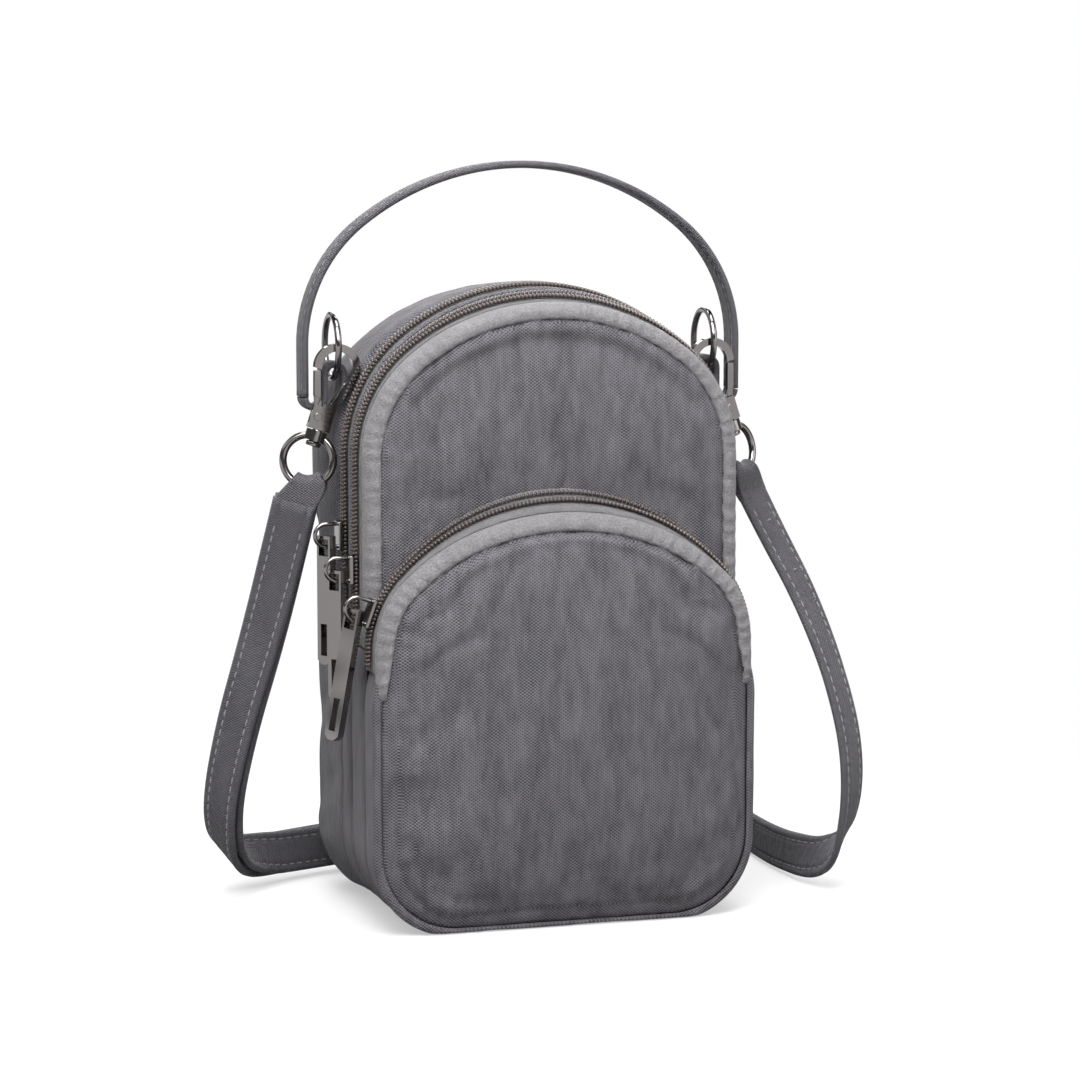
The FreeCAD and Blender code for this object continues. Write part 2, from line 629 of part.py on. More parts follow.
# A hook with its gate in its own frame: x across, z up its axis, foot of the plate at the origin.
def hook_profiles(sign):
    flare = math.radians(amount("dims.hook_flare"))
    centre = "dims.hook_bow_height"
    side = "(dims.hook_plate_width / 2)"
    top = "dims.hook_plate_height"
    wide = f"({math.cos(flare):.6f} * dims.hook_radius)"
    start = f"({centre} - {math.sin(flare):.6f} * dims.hook_radius)"
    clear = "(dims.hook_radius - dims.hook_wall)"
    narrow = f"({math.cos(flare):.6f} * {clear})"
    inner = f"({centre} - {math.sin(flare):.6f} * {clear})"
    throat = "(dims.hook_throat / 2)"
    frame = [
        (f"-{side}", "0"),
        (f"-{side}", top),
        (f"-{wide}", start),
        (wide, start, "0", centre, -1),
        (side, top),
        (side, "0"),
    ]
    opening = [
        (f"-{throat}", f"{top} + 1"),
        (f"-{narrow}", inner),
        (narrow, inner, "0", centre, -1),
        (throat, f"{top} + 1"),
    ]
    nose = "dims.gate_nose_height"
    slope = f"(({wide} - {side}) / ({start} - {top}))"
    nose_x = f"({side} + {slope} * ({nose} - {top}))"
    gap = box_profile(f"{sign} * ({throat} - 0.2)", top, f"{sign} * ({nose_x} + 2)", nose)
    pivot = "dims.gate_pivot_offset"
    height = "dims.gate_pivot_height"
    disc = "dims.gate_disc"
    room = "(dims.gate_disc + 0.9)"
    slot_start = f"{sign} * ({pivot} - {room})"
    slot_stop = f"{sign} * ({side} + 2)"
    slot = box_profile(slot_start, f"{height} - {disc} - 0.4", slot_stop, f"{top} + 2")
    neck = "dims.gate_neck"
    near = f"{sign} * ({pivot} + {disc})"
    far = f"{sign} * ({pivot} - {disc})"
    root = [
        (near, height, f"{sign} * {pivot}", height, sign),
        (near, top),
        (f"{sign} * ({side} + {slope} * ({neck} + 0.2))", f"{top} + {neck} + 0.2"),
        (f"{sign} * ({side} + {slope} * ({neck} + 0.2) - dims.gate_width)", f"{top} + {neck} + 0.2"),
        (far, f"{height} + 0.8"),
        (far, height),
    ]
    tip = f"({nose} - dims.gate_gap)"
    low_x = f"({side} + {slope} * {neck})"
    bar = [
        (f"{sign} * {low_x}", f"{top} + {neck}"),
        (f"{sign} * ({nose_x} - {slope} * (dims.gate_gap + dims.gate_notch))", f"{tip} - dims.gate_notch"),
        (f"{sign} * ({nose_x} - dims.gate_width)", tip),
        (f"{sign} * ({low_x} - dims.gate_width)", f"{top} + {neck}"),
    ]
    return frame, opening, gap, slot, root, bar


def show(name, vector):
    print(name, [round(value, 3) for value in vector])


def hang_point(sign):
    lean = math.radians(amount("dims.hook_lean"))
    top = amount(f"{ring_foot} + dims.ring_radius + dims.hook_wall / 2")
    length = amount("dims.hook_bow_height")
    x = amount(ring_x) + length * math.sin(lean)
    z = top - amount("dims.hook_radius") - length * math.cos(lean)
    return FreeCAD.Placement(
        Vector(sign * x, amount(hook_depth), z), FreeCAD.Rotation(along_y, -sign * amount("dims.hook_lean"))
    )


def hang_set(name, sign):
    plate(f"{name}_ring_tab", [tab_profile(sign)], handle_front, handle_back)
    ring_middle = amount(f"{ring_foot} + dims.ring_radius")
    centre = Vector(sign * amount(ring_x), amount("dims.handle_depth"), ring_middle)
    upright = FreeCAD.Placement(centre, FreeCAD.Rotation(along_y, 90))
    item = primitive(
        "Torus", f"{name}_ring", upright, Radius1="dims.ring_radius", Radius2="dims.ring_wire / 2"
    )
    keep(item, f"{name}_ring")
    show(f"{name} ring hinge", centre - Vector(0, 0, amount("dims.ring_radius")))

    base = hang_point(sign)
    frame, opening, gap, slot, root, bar = hook_profiles(sign)
    pivot = f"{sign} * dims.gate_pivot_offset"
    hole = (pivot, "dims.gate_pivot_height", "dims.gate_rivet / 2")
    body = doc.addObject("PartDesign::Body", f"{name}_hook")
    pad(body, sketch_in(body, "Frame", [frame, opening]), "dims.hook_thickness", both_ways=True)
    pocket(body, sketch_in(body, "Gap", [gap]), "dims.hook_thickness + 2", both_ways=True)
    pocket(body, sketch_in(body, "Slot", [slot]), "dims.gate_root + 2 * dims.gate_gap", both_ways=True)
    pocket(body, sketch_in(body, "Hole", [], circles=[hole]), "dims.hook_thickness + 2", both_ways=True)
    body.Placement = base
    keep(body, f"{name}_hook")

    free = (pivot, "dims.gate_pivot_height", "(dims.gate_rivet / 2 + dims.running_gap)")
    body = doc.addObject("PartDesign::Body", f"{name}_gate")
    pad(body, sketch_in(body, "Root", [root], circles=[free]), "dims.gate_root", both_ways=True)
    pad(body, sketch_in(body, "Bar", [bar]), "dims.gate_thickness", both_ways=True)
    body.Placement = base
    keep(body, f"{name}_gate")

    side_on = FreeCAD.Rotation(Vector(1, 0, 0), 90)
    pivot_x, pivot_z = amount(pivot), amount("dims.gate_pivot_height")
    half_thick = amount("dims.hook_thickness / 2")
    shank = primitive(
        "Cylinder", "Shank", spot(base, pivot_x, half_thick, pivot_z, side_on),
        Radius="dims.gate_rivet / 2", Height="dims.hook_thickness",
    )
    heads = []
    for level in (half_thick + amount("dims.rivet_head"), -half_thick):
        heads.append(primitive(
            "Cylinder", "Head", spot(base, pivot_x, level, pivot_z, side_on),
            Radius="dims.gate_rivet / 2 + 0.5", Height="dims.rivet_head",
        ))
    keep(fuse(f"{name}_gate_rivet", [shank] + heads), f"{name}_gate_rivet")
    show(f"{name} gate hinge", spot(base, pivot_x, 0, pivot_z).Base)

    leaf_x = pivot_x - sign * amount("dims.gate_disc + 0.8")
    if sign < 0:
        leaf_x -= amount("dims.spring_wire")
    leaf = spot(base, leaf_x, -amount("dims.gate_root / 2"), pivot_z - 1)
    spring = primitive(
        "Box", f"{name}_gate_spring", leaf, Length="dims.spring_wire", Width="dims.gate_root", Height="3"
    )
    keep(spring, f"{name}_gate_spring")

    shank_length = "(dims.collar_height + 2 * dims.swivel_gap)"
    head_low = amount(f"-{shank_length} - dims.stud_head_height")
    shank_place = spot(base, 0, 0, -amount(shank_length))
    shank = primitive(
        "Cylinder", "Stud", shank_place, Radius="dims.stud_radius", Height=shank_length
    )
    head_place = spot(base, 0, 0, head_low)
    head = primitive(
        "Cylinder", "StudHead", head_place, Radius="dims.stud_head", Height="dims.stud_head_height"
    )
    keep(fuse(f"{name}_swivel_stud", [shank, head]), f"{name}_swivel_stud")

    turn = FreeCAD.Rotation(up, amount(f"dims.{name}_eye_turn"))
    collar_low = -amount("dims.swivel_gap + dims.collar_height")
    collar = primitive(
        "Cylinder", "Collar", spot(base, 0, 0, collar_low, turn),
        Radius="dims.collar_radius", Height="dims.collar_height",
    )
    eye_z = -amount("dims.swivel_gap + dims.collar_height / 2 + dims.eye_radius")
    wire = primitive(
        "Torus", "Wire", spot(base, 0, 0, eye_z, turn.multiply(side_on)),
        Radius1="dims.eye_radius", Radius2="dims.eye_wire / 2",
    )
    hole = primitive(
        "Cylinder", "Bore", spot(base, 0, 0, collar_low - 1),
        Radius="dims.stud_radius + dims.running_gap", Height="dims.collar_height + 2",
    )
    whole = fuse(f"{name}_eye_blank", [collar, wire])
    keep(cut_from(f"{name}_swivel_eye", whole, hole), f"{name}_swivel_eye")
    foot = spot(base, 0, 0, eye_z - amount("dims.eye_radius"), turn)
    show(f"{name} eye hinge", foot.Base)
    show(f"{name} eye hinge axis", foot.Rotation.multVec(Vector(1, 0, 0)))
    show(f"{name} swivel", base.Base)
    show(f"{name} swivel axis", base.Rotation.multVec(up))

    eye_rise = "(dims.eye_radius - sqrt(dims.eye_radius^2 - (dims.strap_fold / 2)^2))"
    clear = "(dims.eye_wire / 2 + 0.5)"
    wall = f"({clear} + dims.strap_ply)"
    bore_low = f"-({eye_rise} + dims.eye_wire / 2 + 0.6)"
    low = f"({bore_low} - {clear} - dims.strap_ply)"
    body = doc.addObject("PartDesign::Body", f"{name}_strap_loop")
    loop = sketch_in(body, "Loop", [
        [
            (f"-{wall}", low),
            (f"-{wall}", "0"),
            (wall, "0", "0", "0", -1),
            (wall, low),
        ],
        [
            (f"-{clear}", "0"),
            (clear, "0", "0", "0", -1),
            (clear, bore_low),
            (f"-{clear}", bore_low, "0", bore_low, -1),
        ],
    ])
    pad(body, loop, "dims.strap_fold", both_ways=True)
    body.Placement = spot(foot, 0, 0, amount(eye_rise), FreeCAD.Rotation(up, 90))
    keep(body, f"{name}_strap_loop")
    end = spot(foot, 0, 0, amount(f"{eye_rise} + {low}"))
    show(f"{name} strap end", end.Base)
    return end


left_end = hang_set("left", -1)
right_end = hang_set("right", 1)

# The route of the shoulder strap from the left eye, over the floor behind the pouch, to the right eye: the
# corners of its middle line and the direction of its width there. On the two sides a corner is given from
# the end of the strap in x and y, and as a share of that end's height. Behind the pouch it is given in x, in
# y from the back, and as the room under the strap's edge.
left_route = [
    (-0.76, -1.65, 0.9966, 0.9, -0.34, -0.29),
    (-4.71, 4.75, 0.8337, 0.88, -0.45, -0.15),
    (-11.21, 8.25, 0.6366, 0.78, -0.6, -0.1),
    (-18.71, 12.25, 0.432, 0.66, -0.72, -0.1),
    (-23.21, 18.25, 0.2198, 0.55, -0.78, -0.2),
    (-18.21, 30.25, 0.0796, 0.4, -0.6, -0.6),
    (-0.21, 44.25, 0.0682, 0.12, -0.2, -0.95),
    (27.79, 56.25, 0.072, 0, 0, -1),
    (51.79, 63.25, 0.0758, 0, 0, -1),
]
back_route = [
    (2, 29, 3, 0, 0, -1),
    (27, 30, 3, 0, 0, -1),
    (52, 30.5, 2.5, 0, 0, -1),
    (70, 33, 1.5, 0, 0, -1),
    (81, 44, 1, 0, 0, -1),
    (81, 58, 0.6, 0, 0, -1),
    (70, 67, 0.5, 0, 0, -1),
    (52, 69, 0.5, 0, 0, -1),
    (32, 69.5, 0.5, 0, 0, -1),
    (14, 70, 0.5, 0, 0, -1),
    (-4, 73, 0.5, 0, 0, -1),
    (-15, 83, 0.5, 0, 0, -1),
    (-15, 97, 0.5, 0, 0, -1),
    (-4, 106, 0.5, 0, 0, -1),
    (14, 108, 0.5, 0, 0, -1),
    (38, 107, 0.5, 0, 0, -1),
    (62, 102, 0.5, 0, 0, -1),
    (82, 90, 0.5, 0, 0, -1),
    (93, 72, 0.5, 0, 0, -1),
    (96, 50, 0.5, 0, 0, -1),
    (94, 26, 0.5, 0, 0, -1),
]
right_route = [
    (15.21, 40.25, 0.0568, 0, 0, -1),
    (15.21, 4.25, 0.0591, -0.05, 0, -1),
    (21.21, -19.75, 0.072, -0.35, -0.3, -0.88),
    (26.21, -26.75, 0.182, -0.65, -0.65, -0.35),
    (27.71, -24.75, 0.356, -0.72, -0.68, -0.1),
    (23.71, -17.75, 0.5457, -0.74, -0.66, 0),
    (16.21, -8.75, 0.735, -0.78, -0.62, -0.1),
    (6.71, -2.75, 0.8867, -0.78, -0.6, -0.2),
    (0.16, 0, 0.9959, -0.78, -0.57, -0.25),
]
left_split = len(left_route) - 1
right_split = left_split + len(back_route)
return_end = left_split + 2
corners = []
for end, rows in ((left_end.Base, left_route), (right_end.Base, right_route)):
    corners.append([Vector(end.x + row[0], end.y + row[1], end.z * row[2]) for row in rows])
behind = amount(back_face)
edge = amount("dims.strap_width / 2")
corners.insert(1, [Vector(row[0], behind + row[1], edge + row[2]) for row in back_route])
corners = sum(corners, [])
widths = [Vector(*row[3:]).normalize() for row in left_route + back_route + right_route]
strap_width = amount("dims.strap_width")
strap_thickness = amount("dims.strap_thickness")
layer_step = amount("dims.strap_thickness + dims.strap_gap")


# Samples of the rounded route: place, direction and width direction.
# Each corner is an arc tangent to its runs.
def rounded_route():
    samples = [(corners[0], left_end.Rotation.multVec(up.negative()), widths[0], 0)]
    for number in range(1, len(corners) - 1):
        before = (corners[number] - corners[number - 1])
        after = (corners[number + 1] - corners[number])
        cut = 0.45 * min(before.Length, after.Length)
        before.normalize()
        after.normalize()
        half_turn = before.getAngle(after) / 2
        if half_turn < 0.002:
            samples.append((corners[number], before, widths[number], number))
            continue
        radius = cut / math.tan(half_turn)
        print(f"strap corner {number}: radius {radius:.1f}")
        middle = (before + after).normalize()
        inward = (after - before).normalize()
        rise = radius / math.cos(half_turn) - radius
        samples.append((corners[number] - before * cut, before, widths[number], number))
        samples.append((corners[number] + inward * rise, middle, widths[number], number))
        samples.append((corners[number] + after * cut, after, widths[number], number))
    samples.append((corners[-1], right_end.Rotation.multVec(up), widths[-1], len(corners) - 1))
    return samples


def section(sample, offset):
    place, way, width, number = sample
    wide = (width - way * width.dot(way)).normalize()
    outside = way.cross(wide)
    middle = place - outside * offset
    return middle, wide * (strap_width / 2), outside * (strap_thickness / 2)


def strap_piece(label, samples, offset=0):
    frames = [section(sample, offset) for sample in samples]
    rings = []
    for middle, wide, thick in frames:
        points = [middle - wide - thick, middle + wide - thick, middle + wide + thick, middle - wide + thick]
        rings.append([Part.makeLine(points[side - 1], points[side]) for side in range(4)])
    faces = [Part.Face(Part.Wire(rings[0])), Part.Face(Part.Wire(rings[-1]))]
    for near, far in zip(rings, rings[1:]):
        faces += [Part.makeRuledSurface(near[side], far[side], 1) for side in range(4)]
    shell = Part.Shell(faces)
    shell.sewShape()
    solid = Part.Solid(shell)
    solid.fix(1e-6, 1e-6, 1e-6)
    item = doc.addObject("Part::Feature", label)
    item.Shape = solid
    item.Placement = FreeCAD.Placement()
    length = sum((frames[number][0] - frames[number - 1][0]).Length for number in range(1, len(frames)))
    share = item.Shape.Volume / (length * strap_width * strap_thickness)
    print(f"{label}: length {length:.1f}, volume over section times length {share:.3f}")
    return keep(item, label)


samples = rounded_route()
starts = {number: [sample[3] for sample in samples].index(number) for number in (left_split, right_split)}
side_step = layer_step / 2
strap_piece("strap_left_run", samples[: starts[left_split] + 1])
strap_piece("strap_back_loop", samples[starts[left_split] : starts[right_split] + 1])
strap_piece("strap_right_run", samples[starts[right_split] :])
run = corners[return_end + 1] - corners[return_end]
adjuster_middle = corners[return_end] + run * 0.5
way = run.normalize()
stop = adjuster_middle + way * (amount("dims.adjuster_length") / 2)
returned = [sample for sample in samples if sample[3] <= return_end]
returned.append((stop, way, widths[return_end], return_end))
strap_piece("strap_left_return", returned, layer_step)

# The adjuster round both layers of the strap: its own x along the strap, y through it and z across it.
across = widths[return_end] - way * widths[return_end].dot(way)
through = across.cross(way)
turned = FreeCAD.Rotation(way, through, across.negative(), "XYZ")
adjuster_base = FreeCAD.Placement(adjuster_middle + through * side_step, turned)
room_wide = "(dims.strap_width + 2 * dims.soft_gap)"
room_thick = "(2 * dims.strap_thickness + dims.strap_gap + 2 * dims.soft_gap)"


def centred_box(name, length, thick, wide):
    corner = spot(adjuster_base, -amount(length) / 2, -amount(thick) / 2, -amount(wide) / 2)
    return primitive("Box", name, corner, Length=length, Width=thick, Height=wide)


blank_thick = f"{room_thick} + 2 * dims.adjuster_wall"
blank_wide = f"{room_wide} + 2 * dims.adjuster_wall"
blank = centred_box("Blank", "dims.adjuster_length", blank_thick, blank_wide)
passage = centred_box("Passage", "dims.adjuster_length + 2", room_thick, room_wide)
keep(cut_from("strap_adjuster", blank, passage), "strap_adjuster")

doc.recompute()
for item in doc.Objects:
    assert "Invalid" not in item.State and "Error" not in item.State, item.Label
os.makedirs("parts", exist_ok=True)
for node in nodes:
    shape = node.Shape
    assert not shape.isNull() and shape.isValid() and len(shape.Solids) == 1, node.Label
    shape.exportStep(f"parts/{node.Label}.step")
print(len(nodes), "nodes written")
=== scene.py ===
import math

import bmesh
import bpy
import numpy as np
from mathutils import Matrix, Vector, noise


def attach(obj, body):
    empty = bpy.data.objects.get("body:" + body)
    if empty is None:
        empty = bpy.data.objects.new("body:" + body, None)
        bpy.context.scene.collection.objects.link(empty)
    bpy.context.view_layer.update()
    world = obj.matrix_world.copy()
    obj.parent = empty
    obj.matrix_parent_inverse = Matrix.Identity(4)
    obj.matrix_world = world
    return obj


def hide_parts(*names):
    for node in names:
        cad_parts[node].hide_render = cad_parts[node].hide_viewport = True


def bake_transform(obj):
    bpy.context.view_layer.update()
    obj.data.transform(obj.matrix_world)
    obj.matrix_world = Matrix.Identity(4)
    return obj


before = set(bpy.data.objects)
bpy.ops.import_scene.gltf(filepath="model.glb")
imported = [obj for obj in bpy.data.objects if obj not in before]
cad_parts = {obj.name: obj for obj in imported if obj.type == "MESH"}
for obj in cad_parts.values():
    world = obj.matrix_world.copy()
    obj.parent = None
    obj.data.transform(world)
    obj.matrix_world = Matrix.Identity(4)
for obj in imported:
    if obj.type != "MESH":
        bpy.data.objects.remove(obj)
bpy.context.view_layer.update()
mm = 0.001
scene = bpy.context.scene
scene.view_settings.view_transform = "Standard"

# The camera stands at the photograph's place.
cameraSettings = {"lens": 105.3, "yaw": 16.35, "pitch": -6.85, "place": (-0.2805, -0.967, 0.238)}
cameraData = bpy.data.cameras.new("photoCamera")
cameraData.lens = cameraSettings["lens"]
cameraData.sensor_width = 36
cameraData.clip_end = 20
camera = bpy.data.objects.new("photoCamera", cameraData)
scene.collection.objects.link(camera)
camera.location = cameraSettings["place"]
camera.rotation_euler = (
    math.radians(90 + cameraSettings["pitch"]), 0, -math.radians(cameraSettings["yaw"])
)
scene.camera = camera


def linear(level):
    level = level / 255
    return level / 12.92 if level <= 0.04045 else ((level + 0.055) / 1.055) ** 2.4


def colour(red, green, blue):
    return (linear(red), linear(green), linear(blue), 1)


def newMaterial(name, base, roughness, metallic=0.0):
    material = bpy.data.materials.new(name)
    material.use_nodes = True
    shader = material.node_tree.nodes["Principled BSDF"]
    shader.inputs["Base Color"].default_value = base
    shader.inputs["Roughness"].default_value = roughness
    shader.inputs["Metallic"].default_value = metallic
    return material, material.node_tree, shader


# A node with its values set; a value that is another node's socket is linked.
def addNode(tree, kind, **values):
    node = tree.nodes.new(kind)
    for name, value in values.items():
        if isinstance(value, bpy.types.NodeSocket):
            tree.links.new(value, node.inputs[name])
        elif name in node.inputs:
            node.inputs[name].default_value = value
        else:
            setattr(node, name, value)
    return node


# One step of arithmetic on sockets and numbers.
def combine(tree, operation, *values):
    node = addNode(tree, "ShaderNodeMath", operation=operation)
    for place, value in enumerate(values):
        if isinstance(value, bpy.types.NodeSocket):
            tree.links.new(value, node.inputs[place])
        else:
            node.inputs[place].default_value = value
    return node.outputs["Value"]


def mixedShader(tree, share, first, second):
    node = addNode(tree, "ShaderNodeMixShader", Fac=share)
    tree.links.new(first, node.inputs[1])
    tree.links.new(second, node.inputs[2])
    return node.outputs["Shader"]


def objectCoordinates(tree, scale):
    source = addNode(tree, "ShaderNodeTexCoord")
    return addNode(tree, "ShaderNodeMapping", Scale=scale, Vector=source.outputs["Object"]).outputs["Vector"]


# Base colour from a height, from the dark colour to the pale one. On the cloth this is its uneven tone
# together with painted shade of its crinkles.
def toneAndCrinkleShade(tree, shader, height, *stops):
    shades = addNode(tree, "ShaderNodeValToRGB", Fac=height)
    for element, (position, shade) in zip(shades.color_ramp.elements, stops):
        element.position = position
        element.color = shade
    tree.links.new(shades.outputs["Color"], shader.inputs["Base Color"])


def bumped(tree, shader, heights):
    normal = {}
    for height, strength, distance in heights:
        bump = addNode(tree, "ShaderNodeBump", Strength=strength, Distance=distance, Height=height, **normal)
        normal = {"Normal": bump.outputs["Normal"]}
    tree.links.new(normal["Normal"], shader.inputs["Normal"])


# Threads that cross in a lattice of staggered dots, along x and z. Where the cloth turns to the side or
# upwards, y takes the place of x or z.
weaveSettings = {"wander": 0.3, "turn": 0.55, "across": 2.0, "upwards": 2.7}


def weave(tree, pitch, wander):
    source = addNode(tree, "ShaderNodeTexCoord")
    parts = addNode(tree, "ShaderNodeSeparateXYZ", Vector=source.outputs["Object"])
    facing = addNode(tree, "ShaderNodeSeparateXYZ", Vector=source.outputs["Normal"])
    loose = combine(tree, "MULTIPLY", wander, pitch * weaveSettings["wander"])
    shares = {axis: combine(tree, "ABSOLUTE", facing.outputs[axis]) for axis in "XZ"}
    waves = []
    for along, other, count in (("X", "Z", weaveSettings["across"]), ("Z", "X", weaveSettings["upwards"])):
        least = combine(tree, "MAXIMUM", shares[other], weaveSettings["turn"])
        turned = combine(tree, "GREATER_THAN", shares[along], least)
        aside = combine(tree, "SUBTRACT", parts.outputs["Y"], parts.outputs[along])
        swing = combine(tree, "MULTIPLY", turned, aside)
        place = combine(tree, "ADD", combine(tree, "ADD", parts.outputs[along], swing), loose)
        waves.append(combine(tree, "SINE", combine(tree, "MULTIPLY", place, count * math.pi / pitch)))
    return combine(tree, "MULTIPLY", *waves)


clothFinish = {
    "roughness": 0.62, "sheen": 0.15, "sheenRoughness": 0.4, "contrast": 0.4,
    "streakBump": (0.6, 0.0015), "crinkleBump": (0.7, 0.0007), "threadBump": (0.6, 0.18),
}


# Cloth with long streaks, short crinkles and a weave, mixed into its colour by their shares. The streak and
# crinkle noise that raises the bump also sets the colour, darker where the bump sinks: partly the cloth's own
# uneven tone, partly painted shade of its streaks and crinkles.
def clothMaterial(name, settings):
    shares = settings["shares"]
    material, tree, shader = newMaterial(name, settings["pale"], clothFinish["roughness"])
    shader.inputs["Sheen Weight"].default_value = clothFinish["sheen"]
    shader.inputs["Sheen Roughness"].default_value = clothFinish["sheenRoughness"]
    soft, fine = [
        addNode(
            tree, "ShaderNodeTexNoise", Scale=1.0, Detail=detail, Roughness=0.6,
            Vector=objectCoordinates(tree, settings[label]),
        ).outputs["Fac"]
        for label, detail in (("streak", 4), ("crinkle", 2))
    ]
    threads = weave(tree, settings["pitch"], fine)
    level = 0.0
    for height, share in zip((soft, fine, threads), shares):
        level = combine(tree, "MULTIPLY_ADD", height, share, level)
    low = sum(shares[:2]) / 2 - clothFinish["contrast"]
    high = sum(shares[:2]) / 2 + clothFinish["contrast"]
    # Painted shade: the colour is darkest where the streak and crinkle bumps sink.
    toneAndCrinkleShade(tree, shader, level, (low, settings["dark"]), (high, settings["pale"]))
    threadStrength, threadDepth = clothFinish["threadBump"]
    bumped(tree, shader, [
        (soft, *clothFinish["streakBump"]),
        (fine, *clothFinish["crinkleBump"]),
        (threads, threadStrength, threadDepth * settings["pitch"]),
    ])
    return material


# Each cloth's dark colour shows where its streaks and crinkles sink: partly its own tone, partly painted
# shade.
nylon = clothMaterial("crinkledNylon", {
    "dark": colour(28, 26, 31), "pale": colour(103, 100, 106), "streak": (150, 150, 48),
    "crinkle": (380, 380, 130), "pitch": 0.0013, "shares": (0.85, 0.8, 0.7),
})
webbing = clothMaterial("strapNylon", {
    "dark": colour(42, 40, 45), "pale": colour(93, 91, 97), "streak": (120, 120, 60),
    "crinkle": (600, 600, 600), "pitch": 0.0011, "shares": (0.5, 0.4, 0.5),
})
tapeGrain = {
    "dark": colour(74, 72, 75), "streak": (160, 160, 160), "crinkle": (1700, 1700, 1700), "pitch": 0.0003,
    "shares": (0.3, 0.8, 0.0),
}
edgeTape = clothMaterial("edgeTape", {**tapeGrain, "pale": colour(150, 148, 150)})
zipTape = clothMaterial("zipTape", {**tapeGrain, "pale": colour(132, 130, 132)})
liningCloth = clothMaterial("greyLining", {
    "dark": colour(90, 90, 94), "pale": colour(128, 128, 132), "streak": (120, 120, 120),
    "crinkle": (500, 500, 500), "pitch": 0.0010, "shares": (0.6, 0.4, 0.08),
})
coilPlastic, _, coilShader = newMaterial("zipCoil", colour(80, 71, 68), 0.2)
coilShader.inputs["Coat Weight"].default_value = 0.35
castSettings = {"waves": (50, 50, 36), "strength": 0.5, "depth": 0.0022}
gunmetal, metalTree, metalShader = newMaterial("gunmetal", colour(152, 148, 147), 0.1, 1.0)
castWaves = objectCoordinates(metalTree, castSettings["waves"])
castNoise = addNode(metalTree, "ShaderNodeTexNoise", Scale=1.0, Detail=1, Vector=castWaves)
castBump = (castNoise.outputs["Fac"], castSettings["strength"], castSettings["depth"])
bumped(metalTree, metalShader, [castBump])
springSteel = newMaterial("springSteel", colour(190, 190, 192), 0.3, 1.0)[0]
thread = newMaterial("thread", colour(130, 128, 131), 0.7)[0]
print("stage: camera and materials")


def makeMesh(name, points, faces, material):
    mesh = bpy.data.meshes.new(name)
    mesh.from_pydata([tuple(point) for point in points], [], faces)
    mesh.update()
    for polygon in mesh.polygons:
        polygon.use_smooth = True
    mesh.materials.append(material)
    item = bpy.data.objects.new(name, mesh)
    scene.collection.objects.link(item)
    return item


# Faces turned so that they face out of a surface.
def outwards(points, faces):
    mesh = bpy.data.meshes.new("work")
    mesh.from_pydata([tuple(point) for point in points], [], faces)
    work = bmesh.new()
    work.from_mesh(mesh)
    bmesh.ops.recalc_face_normals(work, faces=work.faces)
    faces = [tuple(vertex.index for vertex in face.verts) for face in work.faces]
    work.free()
    bpy.data.meshes.remove(mesh)
    return faces


def flipped(faces, needed):
    return [tuple(reversed(face)) for face in faces] if needed else faces


def evaluated(item):
    bpy.context.view_layer.update()
    return bpy.data.meshes.new_from_object(item.evaluated_get(bpy.context.evaluated_depsgraph_get()))


def unit(vectors):
    return vectors / np.linalg.norm(vectors, axis=1, keepdims=True)


def gridFaces(rows, columns, closedRows=False, closedColumns=False):
    faces = []
    for row in range(rows if closedRows else rows - 1):
        for column in range(columns if closedColumns else columns - 1):
            below = (row + 1) % rows
            beside = (column + 1) % columns
            corners = ((row, column), (row, beside), (below, beside), (below, column))
            faces.append(tuple(line * columns + place for line, place in corners))
    return faces


def stretchedLengths(points):
    steps = np.linalg.norm(np.diff(points, axis=0), axis=1)
    return np.concatenate([[0], np.cumsum(steps)])


# Places on an arc round a centre with the directions that point out of it.
def arcPlaces(centre, radius, start, stop, count):
    angles = np.linspace(start, stop, count)
    outs = np.stack([np.cos(angles), np.sin(angles)], 1)
    return np.concatenate([outs * radius + centre, outs], 1)


# Evenly spaced places along a line, measured by its first columns where a count of them is given.
def resampled(points, count, columns=None):
    lengths = stretchedLengths(points[:, :columns])
    wanted = np.linspace(0, lengths[-1], count)
    return np.stack([np.interp(wanted, lengths, points[:, axis]) for axis in range(points.shape[1])], 1)


# An open surface made into cloth: the surface again, moved in along its normals, and a rim between the two.
def thickened(name, points, faces, thickness, material):
    points = np.asarray(points, float)
    normals = vertexNormals(points, faces)
    count = len(points)
    used = {edge: True for face in faces for edge in zip(face, face[1:] + face[:1])}
    rim = [(stop, start, count + start, count + stop) for start, stop in used if (stop, start) not in used]
    inner = [tuple(count + corner for corner in reversed(face)) for face in faces]
    both = np.concatenate([points, points - normals * thickness])
    return makeMesh(name, both, faces + inner + rim, material)


def vertexNormals(points, faces):
    normals = np.zeros_like(points)
    for size in (3, 4):
        chosen = np.array([face for face in faces if len(face) == size], int)
        if not len(chosen):
            continue
        diagonal = points[chosen[:, 2]] - points[chosen[:, 0]]
        other = points[chosen[:, size - 1]] - points[chosen[:, 1]]
        across = np.cross(diagonal, other)
        for corner in range(size):
            np.add.at(normals, chosen[:, corner], across)
    return normals / (np.linalg.norm(normals, axis=1, keepdims=True) + 1e-15)


